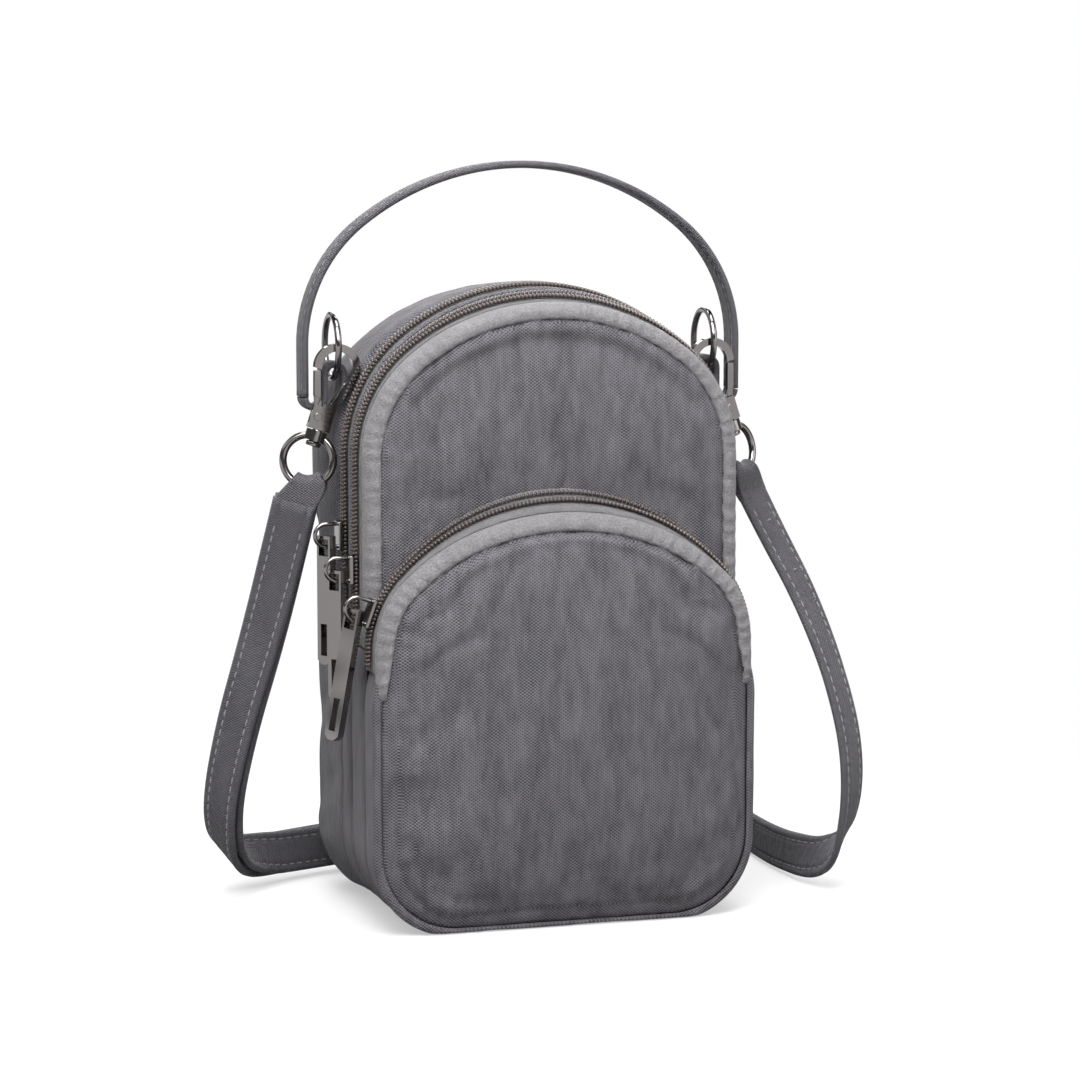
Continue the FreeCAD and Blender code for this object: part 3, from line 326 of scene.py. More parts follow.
# The shoulder strap: the same corners as its line in the part, from the left eye to the right one, in
# millimetres. A corner may also give the direction of the strap's width. Without one it stands on edge.
strapSettings = {
    "width": 0.014,
    "thickness": 0.0026,
    "layerStep": 0.0035,
    "onEdge": (0, 0, -1),
    "corners": [
        (-76.55, 2.1, 131.5, 0.9, -0.34, -0.29), (-80.5, 8.5, 110, 0.88, -0.45, -0.15),
        (-87, 12, 84, 0.78, -0.6, -0.1), (-94.5, 16, 57, 0.66, -0.72, -0.1), (-99, 22, 29, 0.55, -0.78, -0.2),
        (-94, 34, 10.5, 0.4, -0.6, -0.6), (-76, 48, 9, 0.12, -0.2, -0.95), (-48, 60, 9.5), (-24, 67, 10),
        (2, 71, 10), (27, 72, 10), (52, 72.5, 9.5), (70, 75, 8.5), (81, 86, 8), (81, 100, 7.6),
        (70, 109, 7.5), (52, 111, 7.5), (32, 111.5, 7.5), (14, 112, 7.5), (-4, 115, 7.5), (-15, 125, 7.5),
        (-15, 139, 7.5), (-4, 148, 7.5), (14, 150, 7.5), (38, 149, 7.5), (62, 144, 7.5), (82, 132, 7.5),
        (93, 114, 7.5), (96, 92, 7.5), (94, 68, 7.5), (91, 44, 7.5), (91, 8, 7.8, -0.05, 0, -1),
        (97, -16, 9.5, -0.35, -0.3, -0.88), (102, -23, 24, -0.65, -0.65, -0.35),
        (103.5, -21, 47, -0.72, -0.68, -0.1), (99.5, -14, 72, -0.74, -0.66, 0),
        (92, -5, 97, -0.78, -0.62, -0.1), (82.5, 1, 117, -0.78, -0.6, -0.2),
        (75.95, 3.75, 131.4, -0.78, -0.57, -0.25),
    ],
    "returnCorner": 10,
    "returnShare": 0.7,
}


def splinePoints(name, corners):
    curve = bpy.data.curves.new(name, "CURVE")
    curve.dimensions = "3D"
    curve.resolution_u = 12
    spline = curve.splines.new("NURBS")
    spline.points.add(len(corners) - 1)
    for point, corner in zip(spline.points, corners):
        point.co = (*corner, 1)
    spline.order_u = 3
    spline.use_endpoint_u = True
    item = bpy.data.objects.new(name, curve)
    scene.collection.objects.link(item)
    line = evaluated(item)
    points = np.array([vertex.co for vertex in line.vertices], float)
    bpy.data.objects.remove(item)
    bpy.data.meshes.remove(line)
    return points


def strapFrames(points, corners, widths):
    lengths = stretchedLengths(points)
    nearest = [int(np.argmin(np.linalg.norm(points - corner, axis=1))) for corner in corners]
    nearest[0], nearest[-1] = 0, len(points) - 1
    wide = np.stack([np.interp(lengths, lengths[nearest], widths[:, axis]) for axis in range(3)], 1)
    way = unit(np.gradient(points, axis=0))
    wide = unit(wide - way * (wide * way).sum(1, keepdims=True))
    return wide, np.cross(way, wide)


# A folded strap: a flat band with rounded edges and a shallow dent along each row of stitches.
strapSection = {
    "columns": 21, "rows": (-0.62, 0.62), "dent": 0.0005, "dentWidth": 0.08, "sunk": 0.7, "edge": 0.18
}


def strapMesh(name, points, wide, outside, width, thickness, material):
    columns = strapSection["columns"]
    across = np.linspace(-1, 1, columns)
    edge, dent, dentWidth = strapSection["edge"], strapSection["dent"], strapSection["dentWidth"]
    full = np.sqrt(np.clip(1 - np.abs(across) ** 8, 0, 1)) * (1 - edge) + edge
    dents = sum(np.exp(-((across - row) / dentWidth) ** 2) for row in strapSection["rows"]) * dent
    loop = np.concatenate([
        np.stack([across * width / 2, full * thickness / 2 - dents], 1),
        np.stack([across[::-1] * width / 2, -full * thickness / 2 + dents], 1),
    ])
    around = len(loop)
    body = points[:, None] + loop[None, :, :1] * wide[:, None] + loop[None, :, 1:] * outside[:, None]
    faces = gridFaces(len(points), around, closedColumns=True)
    faces.append(tuple(range(around)))
    faces.append(tuple(reversed(range((len(points) - 1) * around, len(points) * around))))
    points = body.reshape(-1, 3)
    return makeMesh(name, points, outwards(points, faces), material)


def beadTree():
    tree = bpy.data.node_groups.new("beadRow", "GeometryNodeTree")
    tree.interface.new_socket("Geometry", in_out="INPUT", socket_type="NodeSocketGeometry")
    sizeSocket = tree.interface.new_socket("Size", in_out="INPUT", socket_type="NodeSocketVector")
    materialSocket = tree.interface.new_socket("Material", in_out="INPUT", socket_type="NodeSocketMaterial")
    tree.interface.new_socket("Geometry", in_out="OUTPUT", socket_type="NodeSocketGeometry")
    source = tree.nodes.new("NodeGroupInput")
    target = tree.nodes.new("NodeGroupOutput")
    bead = addNode(tree, "GeometryNodeMeshUVSphere", Segments=8, Rings=5, Radius=0.5)
    turn = addNode(tree, "GeometryNodeInputNamedAttribute", data_type="FLOAT_VECTOR", Name="turn")
    rotation = addNode(tree, "FunctionNodeEulerToRotation", Euler=turn.outputs["Attribute"])
    place = addNode(
        tree, "GeometryNodeInstanceOnPoints", Points=source.outputs["Geometry"],
        Instance=bead.outputs["Mesh"], Rotation=rotation.outputs["Rotation"], Scale=source.outputs["Size"],
    )
    shape = place.outputs["Instances"]
    for kind in ("GeometryNodeRealizeInstances", "GeometryNodeSetShadeSmooth"):
        shape = addNode(tree, kind, Geometry=shape).outputs["Geometry"]
    paint = addNode(tree, "GeometryNodeSetMaterial", Geometry=shape, Material=source.outputs["Material"])
    tree.links.new(paint.outputs["Geometry"], target.inputs["Geometry"])
    return tree, sizeSocket.identifier, materialSocket.identifier


beads, beadSize, beadMaterial = beadTree()


# Beads at places, each turned so that its x lies along the first direction and its z along the second.
def beadRow(name, places, alongs, outs, size, material):
    turns = []
    for along, out in zip(alongs, outs):
        x = Vector(along).normalized()
        z = Vector(out)
        z = (z - x * z.dot(x)).normalized()
        turns.append(Matrix((x, z.cross(x), z)).transposed().to_euler())
    base = bpy.data.meshes.new(name + "Points")
    base.from_pydata([tuple(place) for place in places], [], [])
    attribute = base.attributes.new("turn", "FLOAT_VECTOR", "POINT")
    attribute.data.foreach_set("vector", np.array([tuple(turn) for turn in turns], np.float32).ravel())
    item = bpy.data.objects.new(name, base)
    scene.collection.objects.link(item)
    modifier = item.modifiers.new("beads", "NODES")
    modifier.node_group = beads
    modifier[beadSize] = size
    modifier[beadMaterial] = material
    mesh = evaluated(item)
    item.modifiers.clear()
    item.data = mesh
    return item


# Stitches along lines of places on a surface, one bead for each stitch.
stitchSettings = {"pitch": 0.0033, "size": (0.0025, 0.0006, 0.0006)}


def stitches(name, lines, size=stitchSettings["size"], pitch=stitchSettings["pitch"]):
    places, alongs, outs = [], [], []
    for line, normals in lines:
        count = max(3, int(stretchedLengths(line)[-1] / pitch))
        points = resampled(line, count)
        ups = resampled(np.concatenate([normals, line], 1), count)[:, :3]
        ways = np.gradient(points, axis=0)
        places.extend(points[1:-1])
        alongs.extend(ways[1:-1])
        outs.extend(ups[1:-1])
    return beadRow(name, places, alongs, outs, size, thread)


# Both rows of stitches on both faces of a strap.
def stitchRows(line, wide, out, width, thickness):
    lift = thickness / 2 - strapSection["dent"] * strapSection["sunk"]
    rows = []
    for row in strapSection["rows"]:
        for face in (-1, 1):
            rows.append((line + wide * row * width / 2 + out * face * lift, out * face))
    return rows


strapWidth, strapThickness = strapSettings["width"], strapSettings["thickness"]
strapCorners = np.array([row[:3] for row in strapSettings["corners"]]) * mm
strapWidths = np.array([row[3:] or strapSettings["onEdge"] for row in strapSettings["corners"]], float)
strapLine = splinePoints("strapLine", strapCorners)
strapWide, strapOut = strapFrames(strapLine, strapCorners, strapWidths)
strap = strapMesh("shoulderStrap", strapLine, strapWide, strapOut, strapWidth, strapThickness, webbing)
lastCorner, nextCorner = strapCorners[strapSettings["returnCorner"]:][:2]
returnEnd = lastCorner * (1 - strapSettings["returnShare"]) + nextCorner * strapSettings["returnShare"]
returnCount = int(np.argmin(np.linalg.norm(strapLine - returnEnd, axis=1))) + 1
returnLine = (strapLine - strapOut * strapSettings["layerStep"])[:returnCount]
returnWide, returnOut = strapWide[:returnCount], strapOut[:returnCount]
strapReturn = strapMesh("strapReturn", returnLine, returnWide, returnOut, strapWidth, strapThickness, webbing)
strapRows = []
for parts in ((strapLine, strapWide, strapOut), (returnLine, returnWide, returnOut)):
    rows = stitchRows(*parts, strapWidth, strapThickness)
    strapRows.extend((line[2:-2], out[2:-2]) for line, out in rows)
strapStitches = stitches("strapStitches", strapRows)

# A sewn box near the right end of the strap.
boxSettings = {
    "places": (0.012, 0.030), "side": 0.62, "lift": 0.0001, "size": (0.0023, 0.0006, 0.0005), "pitch": 0.0026,
    "steps": 9,
}
boxRows = []
strapLengths = stretchedLengths(strapLine)
boxSides = np.linspace(-1, 1, boxSettings["steps"])[:, None] * boxSettings["side"] * strapWidth / 2
boxLift = strapThickness / 2 + boxSettings["lift"]
for along in boxSettings["places"]:
    place = int(np.argmin(np.abs(strapLengths - (strapLengths[-1] - along))))
    for face in (-1, 1):
        level = strapOut[place] * face
        row = strapLine[place] + strapWide[place] * boxSides + level * boxLift
        boxRows.append((row, np.tile(level, (boxSettings["steps"], 1))))
boxRow = stitches("boxStitches", boxRows, boxSettings["size"], boxSettings["pitch"])
print("stage: strap", round(strapLengths[-1], 3), round(stretchedLengths(returnLine)[-1], 3))


# The pouch's two outlines: the dome of its walls and the arch of its front pocket. The top of the dome isn't
# level and the pocket's zip faces a little forward: depths and the heights added there, in millimetres, and
# how far the outline has to face upwards before it takes them.
dome = {
    "half": 0.061, "top": 0.196, "rise": 0.050, "side": 0.044, "corner": 0.026, "foot": 0.088,
    "depths": [-27, -21, -17, -11, -2, 4, 20, 34, 42],
    "heights": [-1.4, -1.4, 0, 1.6, 2.6, 2.6, -0.4, -1.4, -2.0], "from": 0,
}
pocket = {
    "half": 0.061, "top": 0.134, "rise": 0.046, "side": 0.034, "corner": 0.026, "foot": 0.082,
    "depths": [-42, -38.6, -33.5, -27.9],
    "heights": [-3.9, -3.4, 0, 4.2], "from": 0.5,
}
pathCount = 240
finePath = 4000
seamPath = 480
arcSteps = 80
panelSide = pathCount // 4 + 1
floorHeight = 0.0003


# Places round an outline with the directions that point out of it: x, z and the direction's two parts.
def outlinePath(shape, count):
    half, top, side, corner = shape["half"], shape["top"], shape["side"], shape["corner"]
    spring = top - shape["rise"]
    sideX = half - side
    crown = (sideX ** 2 + shape["rise"] ** 2 - side ** 2) / (2 * (shape["rise"] - side))
    lean = math.atan2(spring - top + crown, sideX)
    arcs = (
        ((half - corner, corner), corner, -math.pi / 2, 0),
        ((sideX, spring), side, 0, lean),
        ((0, top - crown), crown, lean, math.pi - lean),
        ((-sideX, spring), side, math.pi - lean, math.pi),
        ((corner - half, corner), corner, math.pi, 1.5 * math.pi),
    )
    middle = [(0, 0, 0, -1)]
    path = np.concatenate([middle, *(arcPlaces(*arc, arcSteps) for arc in arcs), middle])
    return resampled(path, count + 1, 2)[:-1]


# The part of an outline above a height, and the part below its foot.
def overPath(shape, count, foot):
    path = outlinePath(shape, finePath)
    return resampled(path[path[:, 1] >= foot], count, 2)


def underPath(shape, count):
    path = np.roll(outlinePath(shape, finePath), finePath // 2, axis=0)
    return resampled(path[path[:, 1] <= shape["foot"]], count, 2)


# How much of the added heights a place takes, from how far the outline faces upwards there.
def upward(shape, facing):
    return np.clip((facing - shape["from"]) / (1 - shape["from"]), 0, 1) ** 1.5


# A profile of (distance out of the outline, depth) in millimetres, carried along a path.
def sweep(path, profile, shape=None):
    profile = np.array(profile, float) * mm
    x = path[:, None, 0] + path[:, None, 2] * profile[None, :, 0]
    z = path[:, None, 1] + path[:, None, 3] * profile[None, :, 0]
    if shape is not None:
        added = np.interp(profile[:, 1] / mm, shape["depths"], shape["heights"]) * mm
        z = z + upward(shape, path[:, None, 3]) * added[None, :]
    y = np.broadcast_to(profile[None, :, 1], x.shape)
    return np.stack([x, y, np.maximum(z, floorHeight)], 2)


# A square net whose border is the given ring of points and whose inside shrinks towards the middle.
def panelNet(ring, middle, swell):
    count = len(ring)
    places = np.zeros((panelSide, panelSide, 3))
    index = np.full((panelSide, panelSide), -1)
    steps = np.linspace(-1, 1, panelSide)
    loop = np.concatenate([ring, ring[:1]])
    for column, u in enumerate(steps):
        for row, v in enumerate(steps):
            reach = max(abs(u), abs(v))
            if reach < 1e-9:
                places[column, row] = middle + swell
                continue
            a, b = u / reach, v / reach
            if b <= -1 + 1e-9:
                share = a / 8 if a >= 0 else 1 + a / 8
            elif a >= 1 - 1e-9:
                share = 1 / 8 + (b + 1) / 8
            elif b >= 1 - 1e-9:
                share = 3 / 8 + (1 - a) / 8
            else:
                share = 5 / 8 + (1 - b) / 8
            spot = share * count
            low = min(int(spot + 1e-6), count - 1)
            edge = loop[low] + (loop[low + 1] - loop[low]) * (spot - low)
            places[column, row] = middle + (edge - middle) * reach + swell * (1 - reach ** 2) ** 0.8
            if reach > 1 - 1e-9:
                index[column, row] = int(round(spot)) % count
    return places, index


# A sweep round a closed outline and the panel that closes its last row, as one surface.
def cupSurface(shape, profile, middle, swell):
    grid = sweep(outlinePath(shape, pathCount), profile, shape)
    rows, columns = grid.shape[:2]
    faces = gridFaces(rows, columns, closedRows=True)
    net, border = panelNet(grid[:, -1], np.asarray(middle, float), np.asarray(swell, float))
    inner = border < 0
    index = border * columns + columns - 1
    index[inner] = rows * columns + np.arange(inner.sum())
    index = index.ravel().tolist()
    faces.extend(tuple(index[corner] for corner in face) for face in gridFaces(panelSide, panelSide))
    points = np.concatenate([grid.reshape(-1, 3), net[inner]])
    return points, outwards(points, faces)


def bandSurface(path, profile, shape=None):
    grid = sweep(path, profile, shape)
    rows, columns = grid.shape[:2]
    points = grid.reshape(-1, 3)
    faces = gridFaces(rows, columns)
    normals = vertexNormals(points, faces)
    out = np.repeat(path[:, 2:], columns, axis=0)
    return points, flipped(faces, (normals[:, 0] * out[:, 0] + normals[:, 2] * out[:, 1]).sum() < 0)


# The two ends of a band drawn in under the pieces that it meets there.
def tucked(path, points, depth, reach):
    lengths = stretchedLengths(path[:, :2])
    ends = np.minimum(lengths, lengths[-1] - lengths)
    sink = depth * np.clip(1 - ends / reach, 0, 1) ** 2
    grid = points.reshape(len(path), -1, 3)
    grid[:, :, 0] -= (path[:, 2] * sink)[:, None]
    grid[:, :, 2] -= (path[:, 3] * sink)[:, None]
    return grid.reshape(-1, 3)


# Cloth held at its border and blown out from inside; how far a place may move is capped.
clothSettings = {
    "cap": 0.0055,
    "frames": 20,
    "values": {
        "quality": 6, "mass": 0.0006, "vertex_group_mass": "held", "pin_stiffness": 1,
        "tension_stiffness": 12, "compression_stiffness": 12, "shear_stiffness": 6, "bending_stiffness": 0.4,
        "air_damping": 4, "use_pressure": True, "uniform_pressure_force": 4.0, "shrink_min": -0.035,
    },
    "calmTop": (0, 0.9, 0.8),
    "calmSide": (0.3, 0.9, 0.6),
}


def inflated(name, points, faces, held, cap=clothSettings["cap"]):
    item = makeMesh(name + "Cloth", points, faces, nylon)
    group = item.vertex_groups.new(name="held")
    for place in np.nonzero(held > 0)[0]:
        group.add([int(place)], float(held[place]), "REPLACE")
    modifier = item.modifiers.new("cloth", "CLOTH")
    for label, value in clothSettings["values"].items():
        setattr(modifier.settings, label, value)
    modifier.settings.effector_weights.gravity = 0
    modifier.collision_settings.use_collision = False
    modifier.point_cache.frame_start = 1
    modifier.point_cache.frame_end = clothSettings["frames"]
    for step in range(1, clothSettings["frames"] + 1):
        scene.frame_set(step)
    mesh = item.evaluated_get(bpy.context.evaluated_depsgraph_get()).to_mesh()
    moved = np.array([vertex.co for vertex in mesh.vertices], float)
    bpy.data.objects.remove(item)
    scene.frame_set(1)
    shift = moved - points
    length = np.linalg.norm(shift, axis=1, keepdims=True)
    print("cloth", name, "largest move", round(float(length.max()) / mm, 2), "mm")
    facing = vertexNormals(points, faces)
    calm = 0
    for share, label in ((np.abs(facing[:, :1]), "calmSide"), (facing[:, 2:], "calmTop")):
        low, high, most = clothSettings[label]
        calm = np.maximum(calm, ramp(share, low, high) * most)
    room = cap * (1 - calm)
    return points + shift * room * (1 - np.exp(-length / room)) / np.maximum(length, 1e-9)


# How far places lie outside an outline, negative inside it, and how far along it.
def fromOutline(shape, points):
    path = outlinePath(shape, seamPath)
    flat = points[:, [0, 2]]
    nearest = ((flat[:, None, :] - path[None, :, :2]) ** 2).sum(2).argmin(1)
    outside = ((flat - path[nearest, :2]) * path[nearest, 2:]).sum(1)
    return outside, nearest * (stretchedLengths(path[:, :2])[-1] / seamPath)


def ramp(values, low, high):
    share = np.clip((values - low) / (high - low), 0, 1)
    return share * share * (3 - 2 * share)


# Soft dents and crinkles: slow folds that run down the cloth and finer ones across it.
crinkleSettings = {
    "slow": (55, 55, 22), "quick": (150, 150, 80), "shares": {"slow": 0.7, "quick": 0.3},
    "shift": {"slow": (0, 0, 0), "quick": (7, 0, 0)},
}


def crinkled(points, faces, held, amount):
    moves = 0
    for label, share in crinkleSettings["shares"].items():
        places = points * crinkleSettings[label] + crinkleSettings["shift"][label]
        moves = moves + np.array([noise.noise(Vector(place)) for place in places]) * share
    return points + vertexNormals(points, faces) * (moves * (1 - held) * amount)[:, None]


# Gathers where a panel is sewn under its edge tape: short folds across the seam that fade into the panel.
gatherSettings = {
    "seam": 0.005, "amount": 0.0016, "fade": 0.006, "start": 0.002, "folds": 190, "seed": (4.2, 0.5)
}


def gathered(shape, points, faces):
    normals = vertexNormals(points, faces)
    outside, lengths = fromOutline(shape, points)
    depth = -outside - gatherSettings["seam"]
    spots = [Vector((length * gatherSettings["folds"], *gatherSettings["seed"])) for length in lengths]
    fold = np.array([noise.noise(spot) for spot in spots])
    reach = np.where(depth > 0, np.exp(-depth / gatherSettings["fade"]), 0)
    reach = reach * ramp(depth, 0, gatherSettings["start"])
    return points + normals * (fold * reach * gatherSettings["amount"])[:, None]


def smoothed(item):
    modifier = item.modifiers.new("smooth", "SUBSURF")
    modifier.levels = 1
    modifier.render_levels = 1
    return item


def finishPiece(item, body, slotName, *nodes):
    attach(item, body)
    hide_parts(*nodes)
    return item


# A piece of the pouch's cloth, given its thickness and kept above the floor.
clothThickness = {"nylon": 0.0012, "edge tape": 0.0008}


def clothPiece(name, points, faces, slotName, *nodes, thickness=None):
    points[:, 2] = np.maximum(points[:, 2], floorHeight)
    material = edgeTape if slotName == "edge tape" else nylon
    item = thickened(name, points, faces, thickness or clothThickness[slotName], material)
    return finishPiece(smoothed(item), "pouch", slotName, *nodes)


# The back compartment: a puffed gusset, a rounded back edge and the back panel. It is held along the zip and
# near the floor.
backSettings = {
    "profile": [
        (-0.9, 4.3), (0.5, 5.0), (1.2, 8), (1.7, 13), (2.5, 19), (2.9, 25), (2.5, 31), (0.8, 36.5),
        (-1.7, 40.2), (-5.0, 42),
    ],
    "middle": (0, 0.042, 0.098),
    "swell": (0, 0.0015, 0),
    "crinkle": 0.0011,
    "heldDepth": (0.0085, 0.004),
    "heldHeight": (0.004, 0.002),
}
points, faces = cupSurface(dome, backSettings["profile"], backSettings["middle"], backSettings["swell"])
held = np.zeros(len(points))
for axis, label in ((1, "heldDepth"), (2, "heldHeight")):
    stop, fade = backSettings[label]
    held = np.maximum(held, np.clip((stop - points[:, axis]) / fade, 0, 1))
points = inflated("backShell", points, faces, held)
points = crinkled(points, faces, held, backSettings["crinkle"])
backShell = clothPiece("backShell", points, faces, "nylon", "back_gusset", "back_panel")
print("stage: back shell", len(points))


# A gusset round the bottom, from one end of a zip to the other, its ends drawn in.
def lowerGusset(name, node, shape, profile, tuck):
    path = underPath(shape, lowerSettings["steps"])
    points, faces = bandSurface(path, profile)
    points = tucked(path, points, *tuck)
    points = crinkled(points, faces, np.zeros(len(points)), lowerSettings["crinkle"])
    clothPiece(name, points, faces, "nylon", node)


# The two lower gussets below the ends of the dome zips, with the seams that run on from the zips.
lowerSettings = {
    "front": [
        (-0.6, -27.2), (0.4, -26.4), (1.0, -24.5), (1.3, -21.5), (1.4, -18), (1.2, -14), (0.7, -11.4),
        (-0.4, -10.1), (-0.9, -9.65),
    ],
    "rear": [
        (-0.9, -9.45), (0.2, -9), (1.0, -7.4), (1.4, -4.6), (1.4, -1.8), (1.0, 1), (0.2, 2.9), (-0.9, 3.9),
    ],
    "steps": 150,
    "crinkle": 0.0006,
    "tuck": (0.0012, 0.009),
}
for side in ("front", "rear"):
    name, node = side + "LowerGusset", side + "_lower_gusset"
    lowerGusset(name, node, dome, lowerSettings[side], lowerSettings["tuck"])

# The strip between the two dome zips.
stripSettings = {
    "profile": [(-0.2, -10.8), (0.5, -10.4), (0.75, -9.5), (0.5, -8.6), (-0.2, -8.2)],
    "thickness": 0.0008,
    "steps": 200,
}
path = overPath(dome, stripSettings["steps"], dome["foot"])
points, faces = bandSurface(path, stripSettings["profile"], dome)
clothPiece("middleStrip", points, faces, "nylon", "middle_strip", thickness=stripSettings["thickness"])


# A zip: two tapes that meet in its middle, and two rows of coil on them.
zipSettings = {
    "steps": 180, "gap": 0.35, "sunk": (-0.1, -0.35, -0.25), "thickness": 0.0006,
    "tooth": (0.0026, 0.0011, 0.0015), "pitch": 0.00125, "row": 1.5, "lift": 0.75, "slant": 0.5,
    "places": {
        "rear": (dome, -2, -7.9, 3.9), "front": (dome, -17, -20.9, -11.1),
        "pocket": (pocket, -33.5, -38.6, -27.9),
    },
}


def zipPair(name, shape, middle, front, back):
    path = overPath(shape, zipSettings["steps"], shape["foot"])
    gap = zipSettings["gap"]
    sewn, slack, inner = zipSettings["sunk"]
    points, faces = [], []
    for profile in (
        [(sewn, front), (slack, (front + middle - gap) / 2), (inner, middle - gap)],
        [(inner, middle + gap), (slack, (back + middle + gap) / 2), (sewn, back)],
    ):
        some, more = bandSurface(path, profile, shape)
        more = [tuple(corner + len(points) for corner in face) for face in more]
        points.extend(some)
        faces.extend(more)
    tape = thickened(name + "ZipTape", points, faces, zipSettings["thickness"], zipTape)
    finishPiece(tape, "pouch", "zip tape", name + "_zip_tape")
    length = stretchedLengths(path[:, :2])[-1]
    row = resampled(path, int(length / zipSettings["pitch"]), 2)[2:-2]
    lift = zipSettings["lift"] * mm
    x, z, outX, outZ = row.T
    outs = np.stack([outX, outX * 0, outZ], 1)
    places, alongs = [], []
    for sign in (-1, 1):
        depth = middle + sign * zipSettings["row"]
        slant = sign * zipSettings["slant"]
        added = np.interp(depth, shape["depths"], shape["heights"]) * mm
        rise = z + upward(shape, outZ) * added
        places.extend(np.stack([x, x * 0 + depth * mm, rise], 1) + outs * lift)
        alongs.extend(np.stack([outZ * slant, x * 0 + 1, -outX * slant], 1))
    outs = np.concatenate([outs, outs])
    coil = beadRow(name + "ZipCoil", places, alongs, outs, zipSettings["tooth"], coilPlastic)
    finishPiece(coil, "pouch", "zip coil", name + "_zip_coil")


for name, place in zipSettings["places"].items():
    zipPair(name, *place)
print("stage: zips")


# A panel with its border under an edge tape, puffed inside it, crinkled and gathered along the tape.
panelBorder = (-0.013, -0.0075)


def sewnPanel(name, node, shape, settings, covered=None):
    points, faces = cupSurface(shape, settings["profile"], settings["middle"], settings["swell"])
    held = ramp(fromOutline(shape, points)[0], *panelBorder)
    if covered:
        held = np.maximum(held, 1 - ramp(fromOutline(covered, points)[0], *settings["covered"]))
    points = inflated(name, points, faces, held, settings["cap"])
    points = crinkled(points, faces, held, settings["crinkle"])
    points = gathered(shape, points, faces)
    return clothPiece(name, points, faces, "nylon", node)


# The front panel: flat cloth with a little puff, calm where the pocket covers it.
frontSettings = {
    "profile": [(-4.4, -26.4), (-5.1, -27.0), (-6.0, -27.2), (-7.1, -28.4), (-9.0, -28.9)],
    "middle": (0, -0.0289, 0.098),
    "swell": (0, -0.0008, 0),
    "covered": (-0.003, 0.012),
    "cap": 0.0035,
    "crinkle": 0.0008,
}
frontPanel = sewnPanel("frontPanel", "front_panel", dome, frontSettings, pocket)

# A rolled edge tape: folded cloth with puckers from its sewing, sunk and narrowed at its two ends.
edgeSettings = {
    "front": [
        (-5.6, -27.2), (-5.1, -28.0), (-4.2, -28.3), (-2.9, -28.2), (-1.6, -27.4), (-0.6, -26.2),
        (-0.1, -24.8), (-0.1, -23), (-0.4, -21.3),
    ],
    "pocket": [
        (-5.7, -42.2), (-5.2, -43.0), (-4.2, -43.2), (-2.9, -42.9), (-1.7, -42.1), (-0.7, -41.1),
        (-0.2, -40.2), (-0.1, -39.5), (-0.4, -38.9),
    ],
    "foot": {"front": 0.088, "pocket": 0.074},
    "steps": 360,
    "seed": (0.3, 1.7),
    "pucker": {"waves": 160, "pitch": 0.0046, "share": 0.7, "depth": 0.00038, "outward": 0.6},
    "sink": {"depth": 0.0022, "reach": 0.006},
    "narrow": {"share": 0.55, "reach": 0.018},
}


def edgeRoll(side, shape):
    profile = edgeSettings[side]
    pucker, sink, narrow = edgeSettings["pucker"], edgeSettings["sink"], edgeSettings["narrow"]
    path = overPath(shape, edgeSettings["steps"], edgeSettings["foot"][side])
    grid = sweep(path, profile, shape)
    rows, columns = grid.shape[:2]
    lengths = stretchedLengths(path[:, :2])[:, None]
    spots = [Vector((length * pucker["waves"], *edgeSettings["seed"])) for length in lengths[:, 0]]
    slow = np.array([[noise.noise(spot)] for spot in spots])
    fold = np.sin(lengths * 2 * math.pi / pucker["pitch"] + 3 * slow)
    end = np.minimum(lengths, lengths[-1] - lengths)
    sunk = sink["depth"] * np.maximum(0, 1 - end / sink["reach"]) ** 2
    drawn = narrow["share"] * np.maximum(0, 1 - end / narrow["reach"]) ** 1.5
    shift = ((slow + pucker["share"] * fold) * pucker["depth"] - sunk) * np.linspace(1, 0, columns)
    outward = shift * pucker["outward"] - np.array(profile)[:, 0] * mm * drawn
    grid = grid + np.stack([path[:, 2:3] * outward, -shift, path[:, 3:] * outward], 2)
    points = grid.reshape(-1, 3)
    faces = gridFaces(rows, columns)
    faces = flipped(faces, vertexNormals(points, faces)[:, 1].sum() > 0)
    clothPiece(side + "EdgeTape", points, faces, "edge tape", side + "_edge_tape")


edgeRoll("front", dome)
edgeRoll("pocket", pocket)

# The pocket: a puffed panel with a rounded border, and the gusset that carries it below the zip.
pocketSettings = {
    "profile": [
        (-1.4, -38.6), (-1.6, -40), (-2.6, -41.1), (-4.0, -41.7), (-5.1, -42), (-6.1, -42.2),
        (-7.2, -43.5), (-9.2, -44.2),
    ],
    "middle": (0, -0.0442, 0.068),
    "swell": (0, -0.0016, 0),
    "cap": clothSettings["cap"],
    "crinkle": 0.0012,
    "gusset": [
        (-0.3, -27.8), (0.7, -28.6), (0.9, -31), (0.8, -35), (0.2, -37.6), (0.5, -38.6), (1.2, -39.4),
        (1.1, -40.6), (0.2, -41.5), (-1.2, -41.6), (-2.0, -41),
    ],
    "tuck": (0.0018, 0.012),
}
pocketPanel = sewnPanel("pocketPanel", "pocket_panel", pocket, pocketSettings)
lowerGusset("pocketGusset", "pocket_gusset", pocket, pocketSettings["gusset"], pocketSettings["tuck"])
print("stage: panels")

